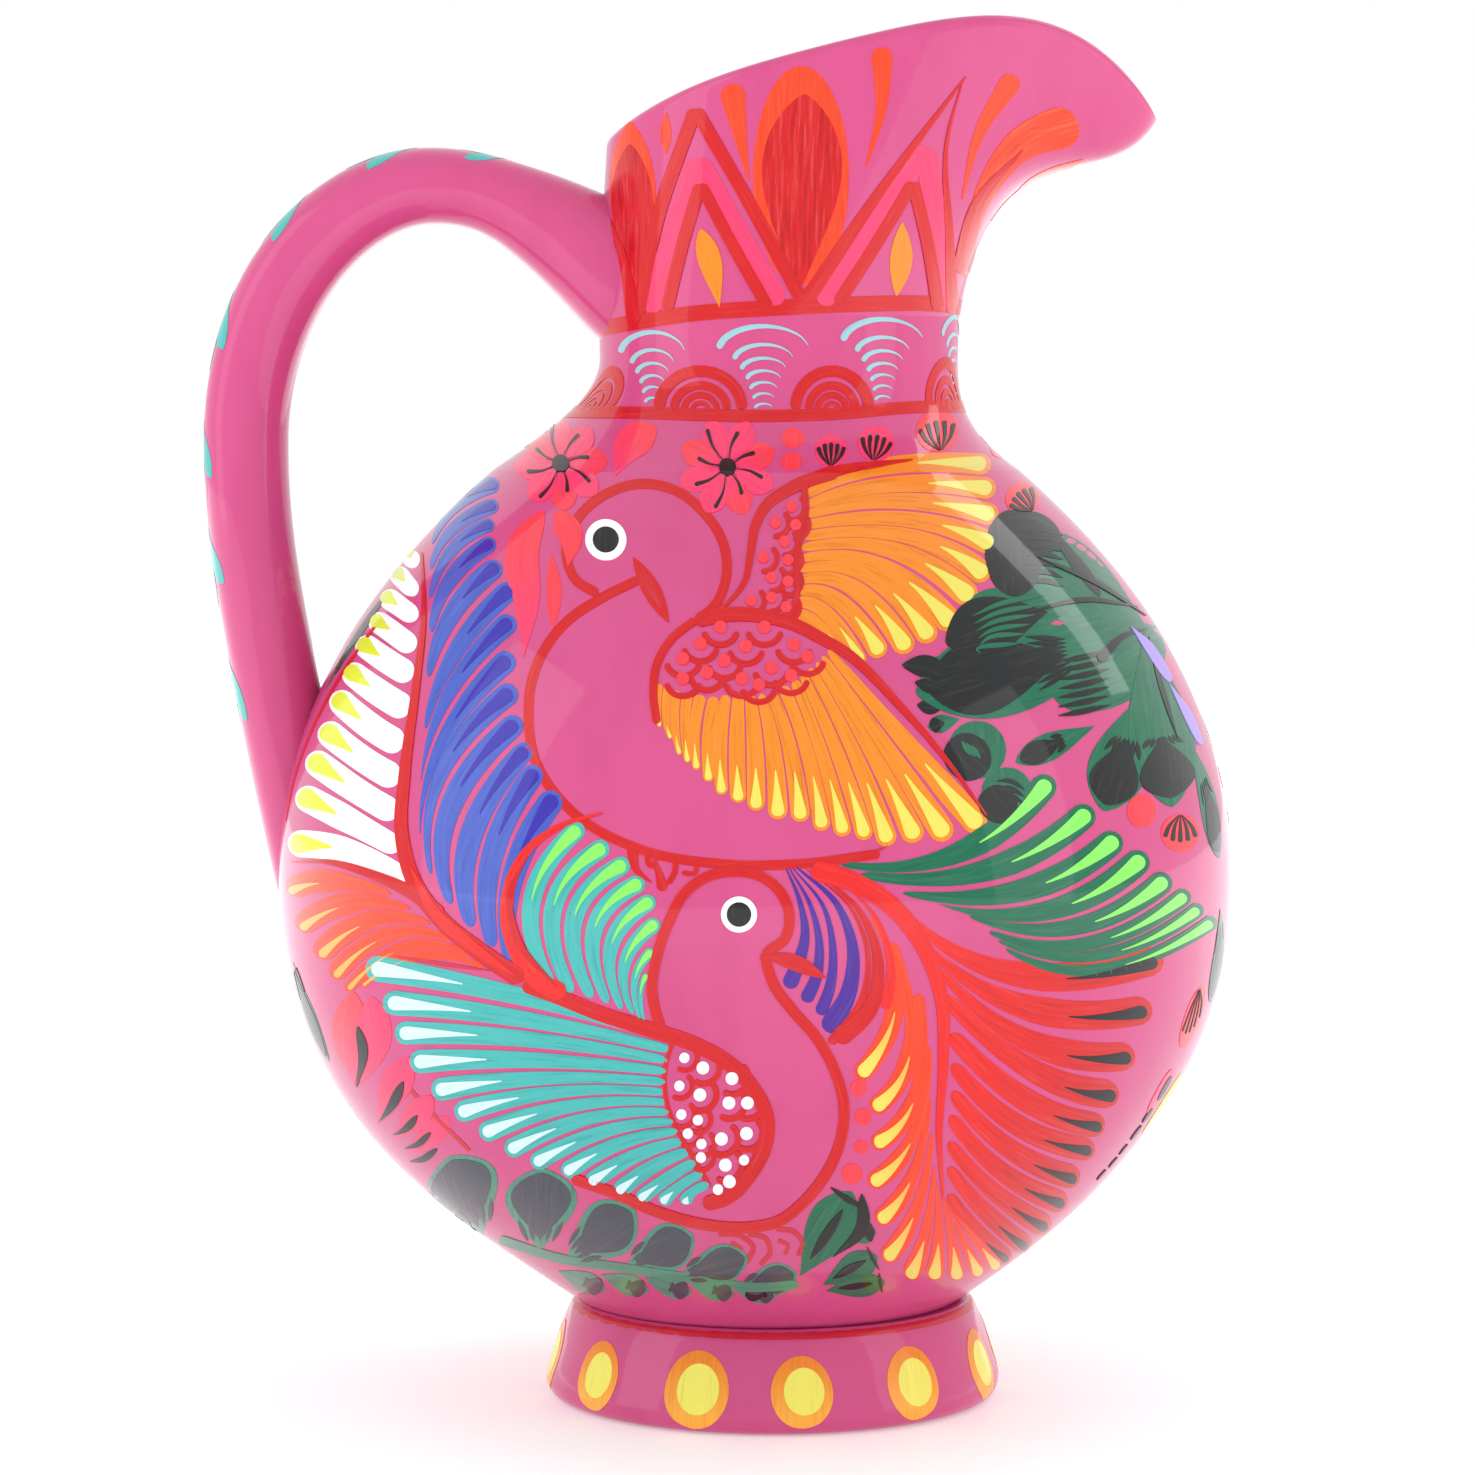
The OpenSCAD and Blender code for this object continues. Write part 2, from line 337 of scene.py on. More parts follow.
def pinkGlaze():
    # pink brushed on in upright sweeps, under clear varnish
    box = Paintbox("pinkGlaze")
    where = box.place()
    brushed = box.noise(box.stretch(where, (1, 1, 0.2)), 90, 4, 0.6)
    cloud = box.noise(where, 16, 2, 0.5)
    plain, deep, pale = (linear(*glazeLook[shade]) for shade in ("plain", "deep", "pale"))
    colour = box.blend(((brushed - 0.46) * 3).clamp() * 0.6, plain, deep)
    colour = box.blend(((cloud - 0.5) * 2).clamp() * 0.5, colour, pale)
    relief = box.bump(brushed * 0.7 + box.noise(where, 260, 2) * 0.3, 0.08, 0.0005)
    return box.shade(Base_Color=colour, Roughness=glazeLook["rough"] + brushed * 0.1, Normal=relief,
                     Coat_Weight=glazeLook["coat"], **varnish)


def brushPaint():
    # each stroke carries its colour, and the place along and across it that its bristle marks follow
    box = Paintbox("brushPaint")
    tint = box.node("ShaderNodeAttribute", {"attribute_name": "tint"}, {}, "Color")
    streak = box.node("ShaderNodeAttribute", {"attribute_name": "tint"}, {}, "Alpha")
    along = box.node("ShaderNodeAttribute", {"attribute_name": "stroke"}, {}, "Vector")
    bristle = box.noise(box.stretch(along, (0.1, 1.5, 1)), 1.0, 3, 0.6)
    dark = box.blend(1.0, tint, (0.5, 0.42, 0.5, 1), "MULTIPLY")
    light = box.blend(0.07, tint, (1, 0.95, 0.85, 1))
    colour = box.blend(((bristle - 0.52) * 5).clamp() * streak, tint, dark)
    colour = box.blend(((0.46 - bristle) * 5).clamp() * streak, colour, light)
    relief = box.bump(bristle, paintLook["relief"], 0.0004)
    return box.shade(Base_Color=colour, Roughness=paintLook["rough"] + bristle * 0.12, Normal=relief,
                     Coat_Weight=paintLook["coat"], **varnish)


def terracotta():
    # bare fired clay: clouds of two browns, pale grit, and faint level rings from throwing
    box = Paintbox("terracotta")
    where = box.place()
    grain = box.noise(where, 420, 5, 0.65)
    cloud = box.noise(where, 22, 3)
    plain, dark, grit = (linear(*bareLook[shade]) for shade in ("plain", "dark", "grit"))
    colour = box.blend(cloud, plain, dark)
    colour = box.blend(((grain - 0.58) * 6).clamp(), colour, grit)
    rings = box.noise(box.stretch(where, (1, 1, 9)), 30, 2)
    relief = box.bump(grain * 0.5 + rings * 0.5, 0.35, 0.0008)
    return box.shade(Base_Color=colour, Roughness=bareLook["rough"] + grain * 0.2, Normal=relief)


def floorPaper():
    # white paper with a painted glow, dim by the pitcher and brightening to the backdrop's white away from it
    box = Paintbox("floorPaper")
    where = box.place()
    grain = box.noise(where, 900, 3)
    far = box.node("ShaderNodeVectorMath", {"operation": "LENGTH"}, {0: where}, "Value")
    glow = box.blend((far * 1.6 - 0.2).clamp(), (0.3, 0.3, 0.3, 1), (1, 1, 1, 1))
    paper = box.blend(grain, (0.86, 0.86, 0.86, 1), (0.9, 0.9, 0.9, 1))
    return box.shade(Base_Color=paper, Roughness=0.6, Specular_IOR_Level=0.1, Emission_Color=glow,
                     Emission_Strength=1.0)


def makeMesh(name, points, faces, material, smooth=True, attributes=None):
    # points in millimetres and faces as a mesh object; attributes maps a name to its kind and its values
    mesh = bpy.data.meshes.new(name)
    mesh.from_pydata((np.asarray(points).reshape(-1, 3) * mm).tolist(), [], [tuple(face) for face in faces])
    mesh.polygons.foreach_set("use_smooth", np.full(len(mesh.polygons), smooth))
    for key, (kind, values) in (attributes or {}).items():
        layer = mesh.attributes.new(key, kind, "POINT")
        field = "color" if kind == "FLOAT_COLOR" else "vector"
        layer.data.foreach_set(field, np.asarray(values, np.float32).ravel())
    mesh.materials.append(material)
    mesh.update()
    if smooth:
        mesh.set_sharp_from_angle(angle=math.radians(50))
    obj = bpy.data.objects.new(name, mesh)
    bpy.context.scene.collection.objects.link(obj)
    return obj


def ringQuads(loops, around, closed):
    # faces between neighbouring rings of a grid, wrapped round, and joined last to first if closed
    j = np.arange(loops if closed else loops - 1)[:, None]
    i = np.arange(around)[None, :]
    k, m = (j + 1) % loops, (i + 1) % around
    corners = [j * around + i, j * around + m, k * around + m, k * around + i]
    return np.stack([np.broadcast_to(c, (len(j), around)) for c in corners], -1).reshape(-1, 4)


def ringShell(name, rings, material):
    # a wall whose section is the closed loop of rings: outside going up, then inside coming down
    rings = np.asarray(rings)
    return makeMesh(name, rings, ringQuads(len(rings), rings.shape[1], True), material)


def claim(piece, slotName, *nodes):
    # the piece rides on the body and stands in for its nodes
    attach(piece, "root")
    if nodes:
        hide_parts(*nodes)
    return piece


def turnAngles(count):
    # even steps round a full turn
    return np.arange(count) * 2 * np.pi / count


def flatRings(outline, axis, around):
    # each (radius, height) of a closed outline as a ring about the line x = axis
    a = turnAngles(around)
    outline = np.asarray(outline, float)
    r, z = outline[:, :1], outline[:, 1:2]
    return np.stack([axis + r * np.cos(a), r * np.sin(a), z + 0 * a], -1)


def roundCorners(outline, radius, steps=4):
    # each corner of a closed outline becomes a quadratic arc that starts radius before it
    p = np.asarray(outline, float)
    before, after = np.roll(p, 1, 0), np.roll(p, -1, 0)
    lead = p + (before - p) * np.minimum(0.45, radius / np.linalg.norm(before - p, axis=1))[:, None]
    trail = p + (after - p) * np.minimum(0.45, radius / np.linalg.norm(after - p, axis=1))[:, None]
    t = np.linspace(0, 1, steps)[None, :, None]
    arc = (1 - t) ** 2 * lead[:, None] + 2 * (1 - t) * t * p[:, None] + t * t * trail[:, None]
    return arc.reshape(-1, 2)


def tipFan(first, around, tip, flip=False):
    # triangles from a ring, whose points are numbered from first, to a tip
    i = np.arange(around)
    m = (i + 1) % around
    one, two = (m, i) if flip else (i, m)
    return np.stack([first + one, first + two, 0 * i + tip], -1).tolist()


def poleShell(name, rings, pole, material):
    # a closed loop of rings that is cut after ring number pole, where both sides end in a point
    loops, around = rings.shape[:2]
    quads = ringQuads(loops, around, True).reshape(loops, around, 4)
    after = (pole + 1) % loops
    tips = np.array([rings[pole].mean(0), rings[after].mean(0)])
    last = loops * around
    fans = tipFan(pole * around, around, last) + tipFan(after * around, around, last + 1, flip=True)
    faces = quads[np.arange(loops) != pole].reshape(-1, 4).tolist() + fans
    return makeMesh(name, np.vstack([rings.reshape(-1, 3), tips]), faces, material)


def insetLine(line, thick, t):
    # the curve moved inwards by thick along its own normal, (-dz, dr) over its length
    here, ahead = bezier(line, t), bezier(line, np.minimum(t + 1e-3, 1))
    back = bezier(line, t - 1e-3)
    d = ahead - back
    d /= np.linalg.norm(d, axis=1, keepdims=True)
    return here + thick * np.stack([-d[:, 1], d[:, 0]], -1)


def leaningRings(line, leanHeights, around):
    # level circles of a (radius, height) line, each about the clay's axis at its lean height
    return flatRings(line, 0, around) + np.array([1.0, 0, 0]) * axisAt(np.asarray(leanHeights))[:, None, None]


def makeBowls(glaze, around):
    # each of the two half bowls and the collar: clayPoint() outside, insetLine() turned round inside
    a = turnAngles(around)
    t = np.linspace(0, 1, 30)
    rise = np.linspace(0, 1, 74)

    heights = bezier(lowerLine, rise)[:, 1:2] + 0 * a
    hollow = insetLine(lowerLine, pot["wall"], t)
    floorZ = pot["footHeight"] + pot["floor"]
    hollow = hollow[hollow[:, 1] > floorZ][::-1]
    floorLine = [(r, floorZ) for r in (28, 12, 3)]
    under = [(3, pot["footHeight"]), (22, pot["footHeight"])]
    inner = np.vstack([hollow, floorLine, under])
    rings = np.concatenate([clayPoint(a, heights), leaningRings(inner, inner[:, 1], around)])
    pole = len(rings) - len(under) - 1
    claim(poleShell("lowerBowl", rings, pole, glaze), "painted_clay", "lower_bowl")

    heights = bezier(upperLine, rise)[:, 1:2] + 0 * a
    inner = insetLine(upperLine, pot["wall"], t)[::-1]
    lean = bezier(upperLine, t)[::-1, 1]
    rings = np.concatenate([clayPoint(a, heights), leaningRings(inner, lean, around)])
    claim(ringShell("upperBowl", rings, glaze), "painted_clay", "upper_bowl")

    collarT = np.linspace(0, 1, 34)
    top = [(pot["neckRadius"] + 0.2, pot["neckHeight"])]
    upright = np.linspace(pot["uprightHeight"], pot["neckHeight"], 8)[1:]
    heights = np.r_[bezier(collarLine, collarT)[:, 1], upright]
    inner = insetLine(collarLine, pot["neckWall"], np.linspace(0, 1, 16))
    inner = np.vstack([insetLine(upperLine, pot["wall"], np.array([1.0])), inner[1:],
                       np.array(top) - (pot["neckWall"], 0)])[::-1]
    lean = np.r_[bezier(collarLine, np.linspace(0, 1, 16))[:, 1], pot["neckHeight"]][::-1]
    rings = np.concatenate([clayPoint(a, heights[:, None] + 0 * a), leaningRings(inner, lean, around)])
    claim(ringShell("neckCollar", rings, glaze), "painted_clay", "neck_collar")
    print("bowls and collar done")


def makeSpout(glaze, around):
    # outside, a half circle over the lip, and the inside; the lip's circle stands on the last rings
    phi = turnAngles(around)
    endT = 0.962
    rise = np.linspace(0, endT, 64)[:, None]
    outer = spoutPoint(phi + 0 * rise, rise + 0 * phi, 0, 0)
    inner = spoutPoint(phi + 0 * rise, rise + 0 * phi, pot["neckWall"], pot["lip"])
    middle = (outer[-1] + inner[-1]) / 2
    reach = (outer[-1] - inner[-1]) / 2
    up = outer[-1] - outer[-2] + inner[-1] - inner[-2]
    up *= np.linalg.norm(reach, axis=-1, keepdims=True) / np.linalg.norm(up, axis=-1, keepdims=True)
    bend = np.radians(np.linspace(0, 180, 11)[1:-1])[:, None, None]
    lipRings = middle + reach * np.cos(bend) + up * np.sin(bend)
    rings = np.concatenate([outer, lipRings, inner[::-1][::3], inner[:1]])
    claim(ringShell("spout", rings, glaze), "painted_clay", "spout")
    print("spout done")


def makeFoot(glaze, bare, around):
    # the foot's outline, closed over its recess and turned round; the two hidden coils only take bare clay
    outline = list(map(tuple, footLine[1:])) + [(39.2, pot["footHeight"]), (pot["recess"], pot["footHeight"]),
                                                (pot["recess"], 0), (pot["footRadius"] - 3.5, 0)]
    outline = roundCorners(outline, 1.1)
    claim(ringShell("footRing", flatRings(outline, 0, around), glaze), "painted_clay", "foot_ring")
    for node in ("foot_joint_coil", "seam_coil"):
        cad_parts[node].data.materials.clear()
        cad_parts[node].data.materials.append(bare)
    print("foot ring done")


strap = {
    "halfThick": 8.2, "halfWide": 10.0, "reach": 105.0, "top": 242.0, "square": 2.3,
    "thick": [(0, 1.7), (0.35, 1.25), (0.7, 0.93), (1, 0.93), (1.6, 1.02), (3, 1.02)],
    "wide": [(0, 1.7), (0.35, 1.25), (0.7, 1), (2, 1), (2.5, 1.1), (3, 1.35)],
    "topSplit": 0.5, "bottomSplit": 2.52, "sink": 1.0, "around": 72, "legLength": 60.0, "acrossLength": 9.0,
}
strapLegs = np.array([
    [(-26, 222), (-40, 232), (-52, strap["top"]), (-68, strap["top"])],
    [(-68, strap["top"]), (-87, strap["top"]), (-strap["reach"], 219), (-strap["reach"], 192)],
    [(-strap["reach"], 192), (-strap["reach"], 168), (-99, 140), (-91, 104)],
], float)


def smoothShare(s, stops):
    # straight lines between the stops, then averaged over a fifth of a leg to round their corners
    x, y = np.array(stops, float).T
    offsets = np.linspace(-0.12, 0.12, 9)
    return np.mean([np.interp(s + o, x, y) for o in offsets], 0)


def strapPoint(s, v):
    # a superellipse of angle v, set square to the handle's middle line at place s
    leg = np.clip(np.floor(s).astype(int), 0, 2)
    t = s - leg
    legs = strapLegs[leg]
    middle = bezier(np.moveaxis(legs, -2, 0), t)
    ahead = bezier(np.moveaxis(legs, -2, 0), np.clip(t + 0.01, 0, 1))
    back = bezier(np.moveaxis(legs, -2, 0), np.clip(t - 0.01, 0, 1))
    d = ahead - back
    d /= np.linalg.norm(d, axis=-1, keepdims=True)
    power = 2 / strap["square"]
    c, n = np.cos(v), np.sin(v)
    across = strap["halfThick"] * smoothShare(s, strap["thick"]) * np.sign(c) * np.abs(c) ** power
    side = strap["halfWide"] * smoothShare(s, strap["wide"]) * np.sign(n) * np.abs(n) ** power
    uneven = 1 + 0.012 * np.sin(5.1 * s + 2 * v) + 0.01 * np.sin(9 * s - v)
    # d points from the neck to the tail, so (-dz, dx) turned about Y points out of the loop
    return np.stack([middle[..., 0] + d[..., 1] * across * uneven, side * uneven,
                     middle[..., 1] - d[..., 0] * across * uneven], -1)


def makeHandle(glaze):
    # strapPoint() over a grid, in three lengths that meet at the splits, each closed at both ends
    around = strap["around"]
    v = turnAngles(around)
    pieces = (("handleTopRoot", 0, strap["topSplit"], 40, "handle_top_joint"),
              ("handleStrap", strap["topSplit"], strap["bottomSplit"], 170, "handle"),
              ("handleTail", strap["bottomSplit"], 3, 56, "handle_bottom_joint"))
    for name, start, end, count, node in pieces:
        s = np.linspace(start, end, count)[:, None] + 0 * v
        p = strapPoint(s, v + 0 * s)
        gap = clayGap(p)
        # what would stand in the wall is drawn out to just under its surface
        angle = np.arctan2(p[..., 1], p[..., 0] - axisAt(p[..., 2]))
        sunk = clayPoint(angle, p[..., 2])
        sunk[..., 0] -= strap["sink"] * np.cos(angle)
        sunk[..., 1] -= strap["sink"] * np.sin(angle)
        p = np.where((gap < -strap["sink"])[..., None], sunk, p)
        last = count * around
        fans = tipFan(0, around, last, flip=True) + tipFan(last - around, around, last + 1)
        points = np.vstack([p.reshape(-1, 3), p[0].mean(0), p[-1].mean(0)])
        faces = ringQuads(count, around, False).tolist() + fans
        claim(makeMesh(name, points, faces, glaze), "painted_clay", node)
    print("handle done")


paints = {
    "red": (200, 20, 26), "brightRed": (222, 34, 32), "coral": (238, 60, 74), "hotPink": (238, 58, 106),
    "orange": (242, 66, 30), "amber": (234, 134, 28), "honey": (244, 172, 74),
    "paleYellow": (226, 214, 92), "darkGreen": (14, 104, 74), "leafBlack": (22, 24, 26),
    "lightGreen": (132, 226, 98), "teal": (66, 176, 172), "paleTeal": (204, 232, 238),
    "mist": (150, 196, 206), "blue": (66, 90, 186), "deepBlue": (52, 40, 164), "indigo": (74, 36, 146),
    "lime": (218, 232, 40), "limeDisc": (238, 234, 100), "amberDisc": (250, 176, 62),
    # the garland's green and grey below are leaf colours lightened by a painted reflection of the floor
    "violet": (168, 140, 226), "white": (250, 250, 250), "black": (22, 20, 24), "sage": (70, 136, 112),
    "slate": (66, 70, 80), "clay": (196, 36, 54),
}
brush = {
    "lift": 0.07, "layer": 0.06, "sink": 0.15,  # the paint's height, what a layer adds, its edges' depth
    "order": 0.004, "orders": 12, "stagger": 0.006, "staggers": 5,  # small lifts that part crossing strokes
    "samples": 24, "lineSamples": 72, "stripGap": 7.3, "strokeGap": 11.7,  # the gaps part the bristle marks
}
section = np.r_[-1, np.linspace(-1, 1, 11), 1]
sight = {"near": 0.87, "far": 1.01, "steps": 40, "halvings": 12}  # shares of a ray at which to look for clay


def board(points):
    # where straight lines from the eye through an upright board, at y = 0, meet the clay
    eye = np.array(view["eye"]) / mm
    target = np.array(view["target"]) / mm
    aimed = (target - eye) / np.linalg.norm(target - eye)
    right = np.cross(aimed, (0, 0, 1))
    right /= np.linalg.norm(right)
    up = np.cross(right, aimed)
    points = np.asarray(points, float)
    ray = target + (points[..., :1] - target[0]) * right + (points[..., 1:] - target[2]) * up - eye
    share = np.linspace(sight["near"], sight["far"], sight["steps"])
    gap = clayGap(eye + ray[..., None, :] * share[:, None])
    inside = gap < 0
    first = np.where(inside.any(-1), np.argmax(inside, -1), np.argmin(gap, -1))
    low, high = share[np.maximum(first - 1, 0)], share[first]
    for _ in range(sight["halvings"]):
        mid = (low + high) / 2
        out = clayGap(eye + ray * mid[..., None]) > 0
        low, high = np.where(out, mid, low), np.where(out, high, mid)
    return onClay(eye + ray * high[..., None])


def wrapped(radius):
    # (length round a ring of that radius from azimuth 0, height) on the clay
    return lambda points: clayPoint(points[..., 0] / radius, points[..., 1])


def strapped(points):
    # (length from the neck over the handle's outer side, length across) on the handle
    return strapPoint(points[..., 0] / strap["legLength"], -points[..., 1] / strap["acrossLength"])


def strapNormal(points):
    # square to two short steps, along and across
    steps = strapped(points + [0.2, 0]) - strapped(points), strapped(points + [0, 0.2]) - strapped(points)
    n = np.cross(*steps)
    return n / np.linalg.norm(n, axis=-1, keepdims=True)


places = {"board": board, "belly": wrapped(pot["wrapRadius"]), "neck": wrapped(pot["neckRadius"]),
          "foot": wrapped(pot["footRadius"]), "strap": strapped}


def headings(middle):
    # unit steps along each middle line
    ahead = np.gradient(middle, axis=1)
    return ahead / np.linalg.norm(ahead, axis=2, keepdims=True)


def lengths(middle):
    # the length run from the start of each middle line to each of its points
    gaps = np.linalg.norm(np.diff(middle, axis=1), axis=2)
    return np.concatenate([np.zeros((len(middle), 1)), np.cumsum(gaps, 1)], 1)


def through(points, count):
    # cubic pieces from point to point, whose slopes come from their neighbours, closer sampled at the ends
    p = np.asarray(points, float)
    gaps = np.linalg.norm(np.diff(p, axis=0), axis=1)
    at = np.r_[0, np.cumsum(gaps)]
    slope = np.gradient(p, at, axis=0)
    s = at[-1] * (1 - np.cos(np.pi * np.linspace(0, 1, count))) / 2
    j = np.clip(np.searchsorted(at, s, side="right") - 1, 0, len(gaps) - 1)
    h = gaps[j][:, None]
    u = ((s - at[j]) / gaps[j])[:, None]
    return ((1 + 2 * u) * (1 - u) ** 2 * p[j] + u * (1 - u) ** 2 * h * slope[j]
            + u * u * (3 - 2 * u) * p[j + 1] + u * u * (u - 1) * h * slope[j + 1])


def widths(shape, middle, half):
    # half widths at each share u of a middle line: a line is even between quarter circles of radius half,
    # a drop grows as u^1.2, a taper shrinks as u^1.3, a leaf goes as sin(pi u), a petal as sin(pi u^1.5),
    # and an oval as a half circle
    run = lengths(middle)
    length = run[:, -1:]
    u = run / length
    half = np.asarray(half, float)
    start = np.sqrt(1 - (1 - np.clip(run / np.minimum(half, length / 2), 0, 1)) ** 2)
    end = np.sqrt(1 - (1 - np.clip((length - run) / np.minimum(half, length / 2), 0, 1)) ** 2)
    if shape == "line":
        return half * start * end
    if shape == "drop":
        return half * (0.08 + 0.92 * u ** 1.2) * end * np.clip(run / 0.3, 0, 1)
    if shape == "taper":
        return half * (1 - 0.9 * u ** 1.3) * start * np.clip((length - run) / 0.3, 0, 1)
    if shape == "leaf":
        return half * np.sin(np.pi * u) ** 0.85
    if shape == "petal":
        return half * np.sin(np.pi * u ** 1.5) ** 0.7
    return half * np.sqrt(np.clip(1 - (2 * u - 1) ** 2, 0, 1))


def brushStroke(middle, half, paint, tip=None, layer=0, streak=0.3, space="board"):
    # middle lines with their half widths, one paint at the root and perhaps another at the tip
    return {"middle": middle, "half": half, "paint": paint, "tip": tip or paint, "layer": layer,
            "streak": streak, "space": space}


def mark(shape, half, paint, *points, samples=brush["samples"], **more):
    # one stroke of the brush through the points
    middle = through(points, samples)[None]
    return brushStroke(middle, widths(shape, middle, half), paint, **more)


def line(half, paint, *points, **more):
    # a long even stroke
    return mark("line", half, paint, *points, samples=brush["lineSamples"], **more)


def lines(half, paint, *paths, **more):
    # the same even stroke along each path
    return [line(half, paint, *path, **more) for path in paths]


def dot(radius, paint, *spots, tall=1.0, **more):
    # round spots, taller than wide by the share tall
    return [mark("oval", radius, paint, (x, z - radius * tall), (x, z + radius * tall), **more)
            for x, z in spots]


def fan(count, roots, mids, tips, paint, glow, fill=0.9, widest=3.2, glowStart=0.6, glowShare=0.5,
        glowTip=None, streak=0.45, layer=0, tip=None, glowShift=0.0):
    # strokes side by side, each the parabola from its root through its middle to its tip, as wide as the
    # gap to its neighbours times fill, with a drop of the glow paint over its far end
    spread = np.linspace(0, 1, count)
    ends = []
    for guide in (roots, mids, tips):
        guide = np.array(guide, float)
        at = np.linspace(0, 1, len(guide))
        ends.append(np.stack([np.interp(spread, at, column) for column in guide.T], -1)[:, None])
    r, m, t = ends

    def bent(u):
        # the parabola with r, m and t at u = 0, a half and 1
        u = u[None, :, None]
        return (1 - u) * (1 - 2 * u) * r + 4 * u * (1 - u) * m + u * (2 * u - 1) * t

    u = (1 - np.cos(np.pi * np.linspace(0, 1, brush["samples"]))) / 2
    middle = bent(u)
    ahead = headings(middle)
    step = np.diff(middle, axis=0)
    room = np.abs(step[..., 0] * ahead[1:, :, 1] - step[..., 1] * ahead[1:, :, 0])
    room = (np.concatenate([room[:1], room]) + np.concatenate([room, room[-1:]])) / 2
    room = np.minimum(room * fill / 2, widest)
    head = room[:, -5:-4]
    inner = bent(glowStart + (0.98 - glowStart) * u)
    ahead = headings(inner)
    inner = inner + np.stack([-ahead[..., 1], ahead[..., 0]], -1) * head[..., None] * glowShift
    return [brushStroke(middle, room * widths("line", middle, head) / head, paint, tip, layer, streak),
            brushStroke(inner, widths("drop", inner, head * glowShare), glow, glowTip, layer + 1, 0.15)]


def brushStrip(stroke):
    # a closed strip along each middle line, raised on the clay and sunk into it at its edges
    middle = stroke["middle"]
    ahead = headings(middle)
    across = np.stack([-ahead[..., 1], ahead[..., 0]], -1)
    flat = middle[:, :, None] + across[:, :, None] * (stroke["half"][:, :, None] * section)[..., None]
    p = places[stroke["space"]](flat)
    lift = np.full(len(section), brush["lift"] + brush["layer"] * stroke["layer"])
    lift[[0, -1]] = -brush["sink"]
    shift = brush["stagger"] * (np.arange(len(middle)) % brush["staggers"])
    return flat, p, lift + shift[:, None, None]


def stripFaces(start, strips, rows, columns):
    # quads round each strip's inner rows, and three-sided faces to the points at its ends
    first = start + np.arange(strips)[:, None, None] * (rows * columns + 2)
    j = np.arange(rows - 1)[None, :, None]
    i = np.arange(columns)[None, None, :]
    m = (i + 1) % columns
    quads = np.stack([first + j * columns + i, first + (j + 1) * columns + i,
                      first + (j + 1) * columns + m, first + j * columns + m], -1).reshape(-1, 4)
    i, m, first = i[:, 0], m[:, 0], first[:, 0]
    root, tip = first + rows * columns + 0 * i, first + rows * columns + 1 + 0 * i
    last = first + (rows - 1) * columns
    fans = np.concatenate([np.stack([root, first + i, first + m], -1).reshape(-1, 3),
                           np.stack([last + i, tip, last + m], -1).reshape(-1, 3)])
    return quads.tolist() + fans.tolist()


def flattened(items):
    # one plain list of strokes from lists within lists
    flat = []
    for item in items:
        flat.extend(flattened(item) if isinstance(item, list) else [item])
    return flat


def paintPiece(name, strokes, material, sides=(1, -1)):
    # the strokes as one mesh, on the front and again, turned over, on the back; each point keeps its tint,
    # whose last value is how far the bristles show, and its place along and across the stroke
    points, faces, tints, marks = [], [], [], []
    start = 0
    seed = 0
    for side in sides:
        for number, stroke in enumerate(flattened(strokes)):
            flat, p, lift = brushStrip(stroke)
            lift = lift + brush["order"] * (number % brush["orders"])  # a later stroke lies on an earlier one
            if side < 0:
                # turned over front to back, so its columns run the other way
                p = onClay(p[:, :, ::-1] * np.array([1, -1, 1]))
            p = p + (strapNormal(flat) if stroke["space"] == "strap" else clayNormal(p)) * lift[..., None]
            strips, samples, columns = p.shape[:3]
            run = lengths(stroke["middle"])
            share = ease(run / run[:, -1:])[..., None]
            root, tip = (np.array(linear(*paints[stroke[end]])) for end in ("paint", "tip"))
            tint = (1 - share) * root + share * tip
            tint[..., 3] = stroke["streak"]
            tint = np.repeat(tint[:, :, None], columns, 2)
            seeds = seed + np.arange(strips)[:, None, None] * brush["stripGap"]
            across = stroke["half"][..., None] * section
            spot = np.stack(np.broadcast_arrays(run[..., None], across, seeds), -1)
            seed += brush["strokeGap"]
            for store, grid in ((points, p), (tints, tint), (marks, spot)):
                inner = grid[:, 1:-1].reshape(strips, -1, grid.shape[-1])
                ends = grid[:, [0, -1], columns // 2]
                store.append(np.concatenate([inner, ends], 1).reshape(-1, grid.shape[-1]))
            faces += stripFaces(start, strips, samples - 2, columns)
            start += strips * ((samples - 2) * columns + 2)
    piece = makeMesh(name, np.concatenate(points), faces, material,
                     attributes={"tint": ("FLOAT_COLOR", np.concatenate(tints)),
                                 "stroke": ("FLOAT_VECTOR", np.concatenate(marks))})
    return claim(piece, "brush_paint")


def arch(shape, half, paint, x, z, wide, high, start=178, end=2, **more):
    # part of an ellipse about (x, z), clockwise from the start angle
    a = np.radians(np.linspace(start, end, 9))
    return mark(shape, half, paint, *np.stack([x + wide * np.cos(a), z + high * np.sin(a)], -1), **more)


def scallop(half, paint, spots, reach, facing, spread=75, **more):
    # arcs round the spots, open on the side away from the facing angle
    a = np.radians(facing + np.linspace(-spread, spread, 7))
    return [mark("line", half, paint, *np.stack([x + reach * np.cos(a), z + reach * np.sin(a)], -1), **more)
            for x, z in spots]


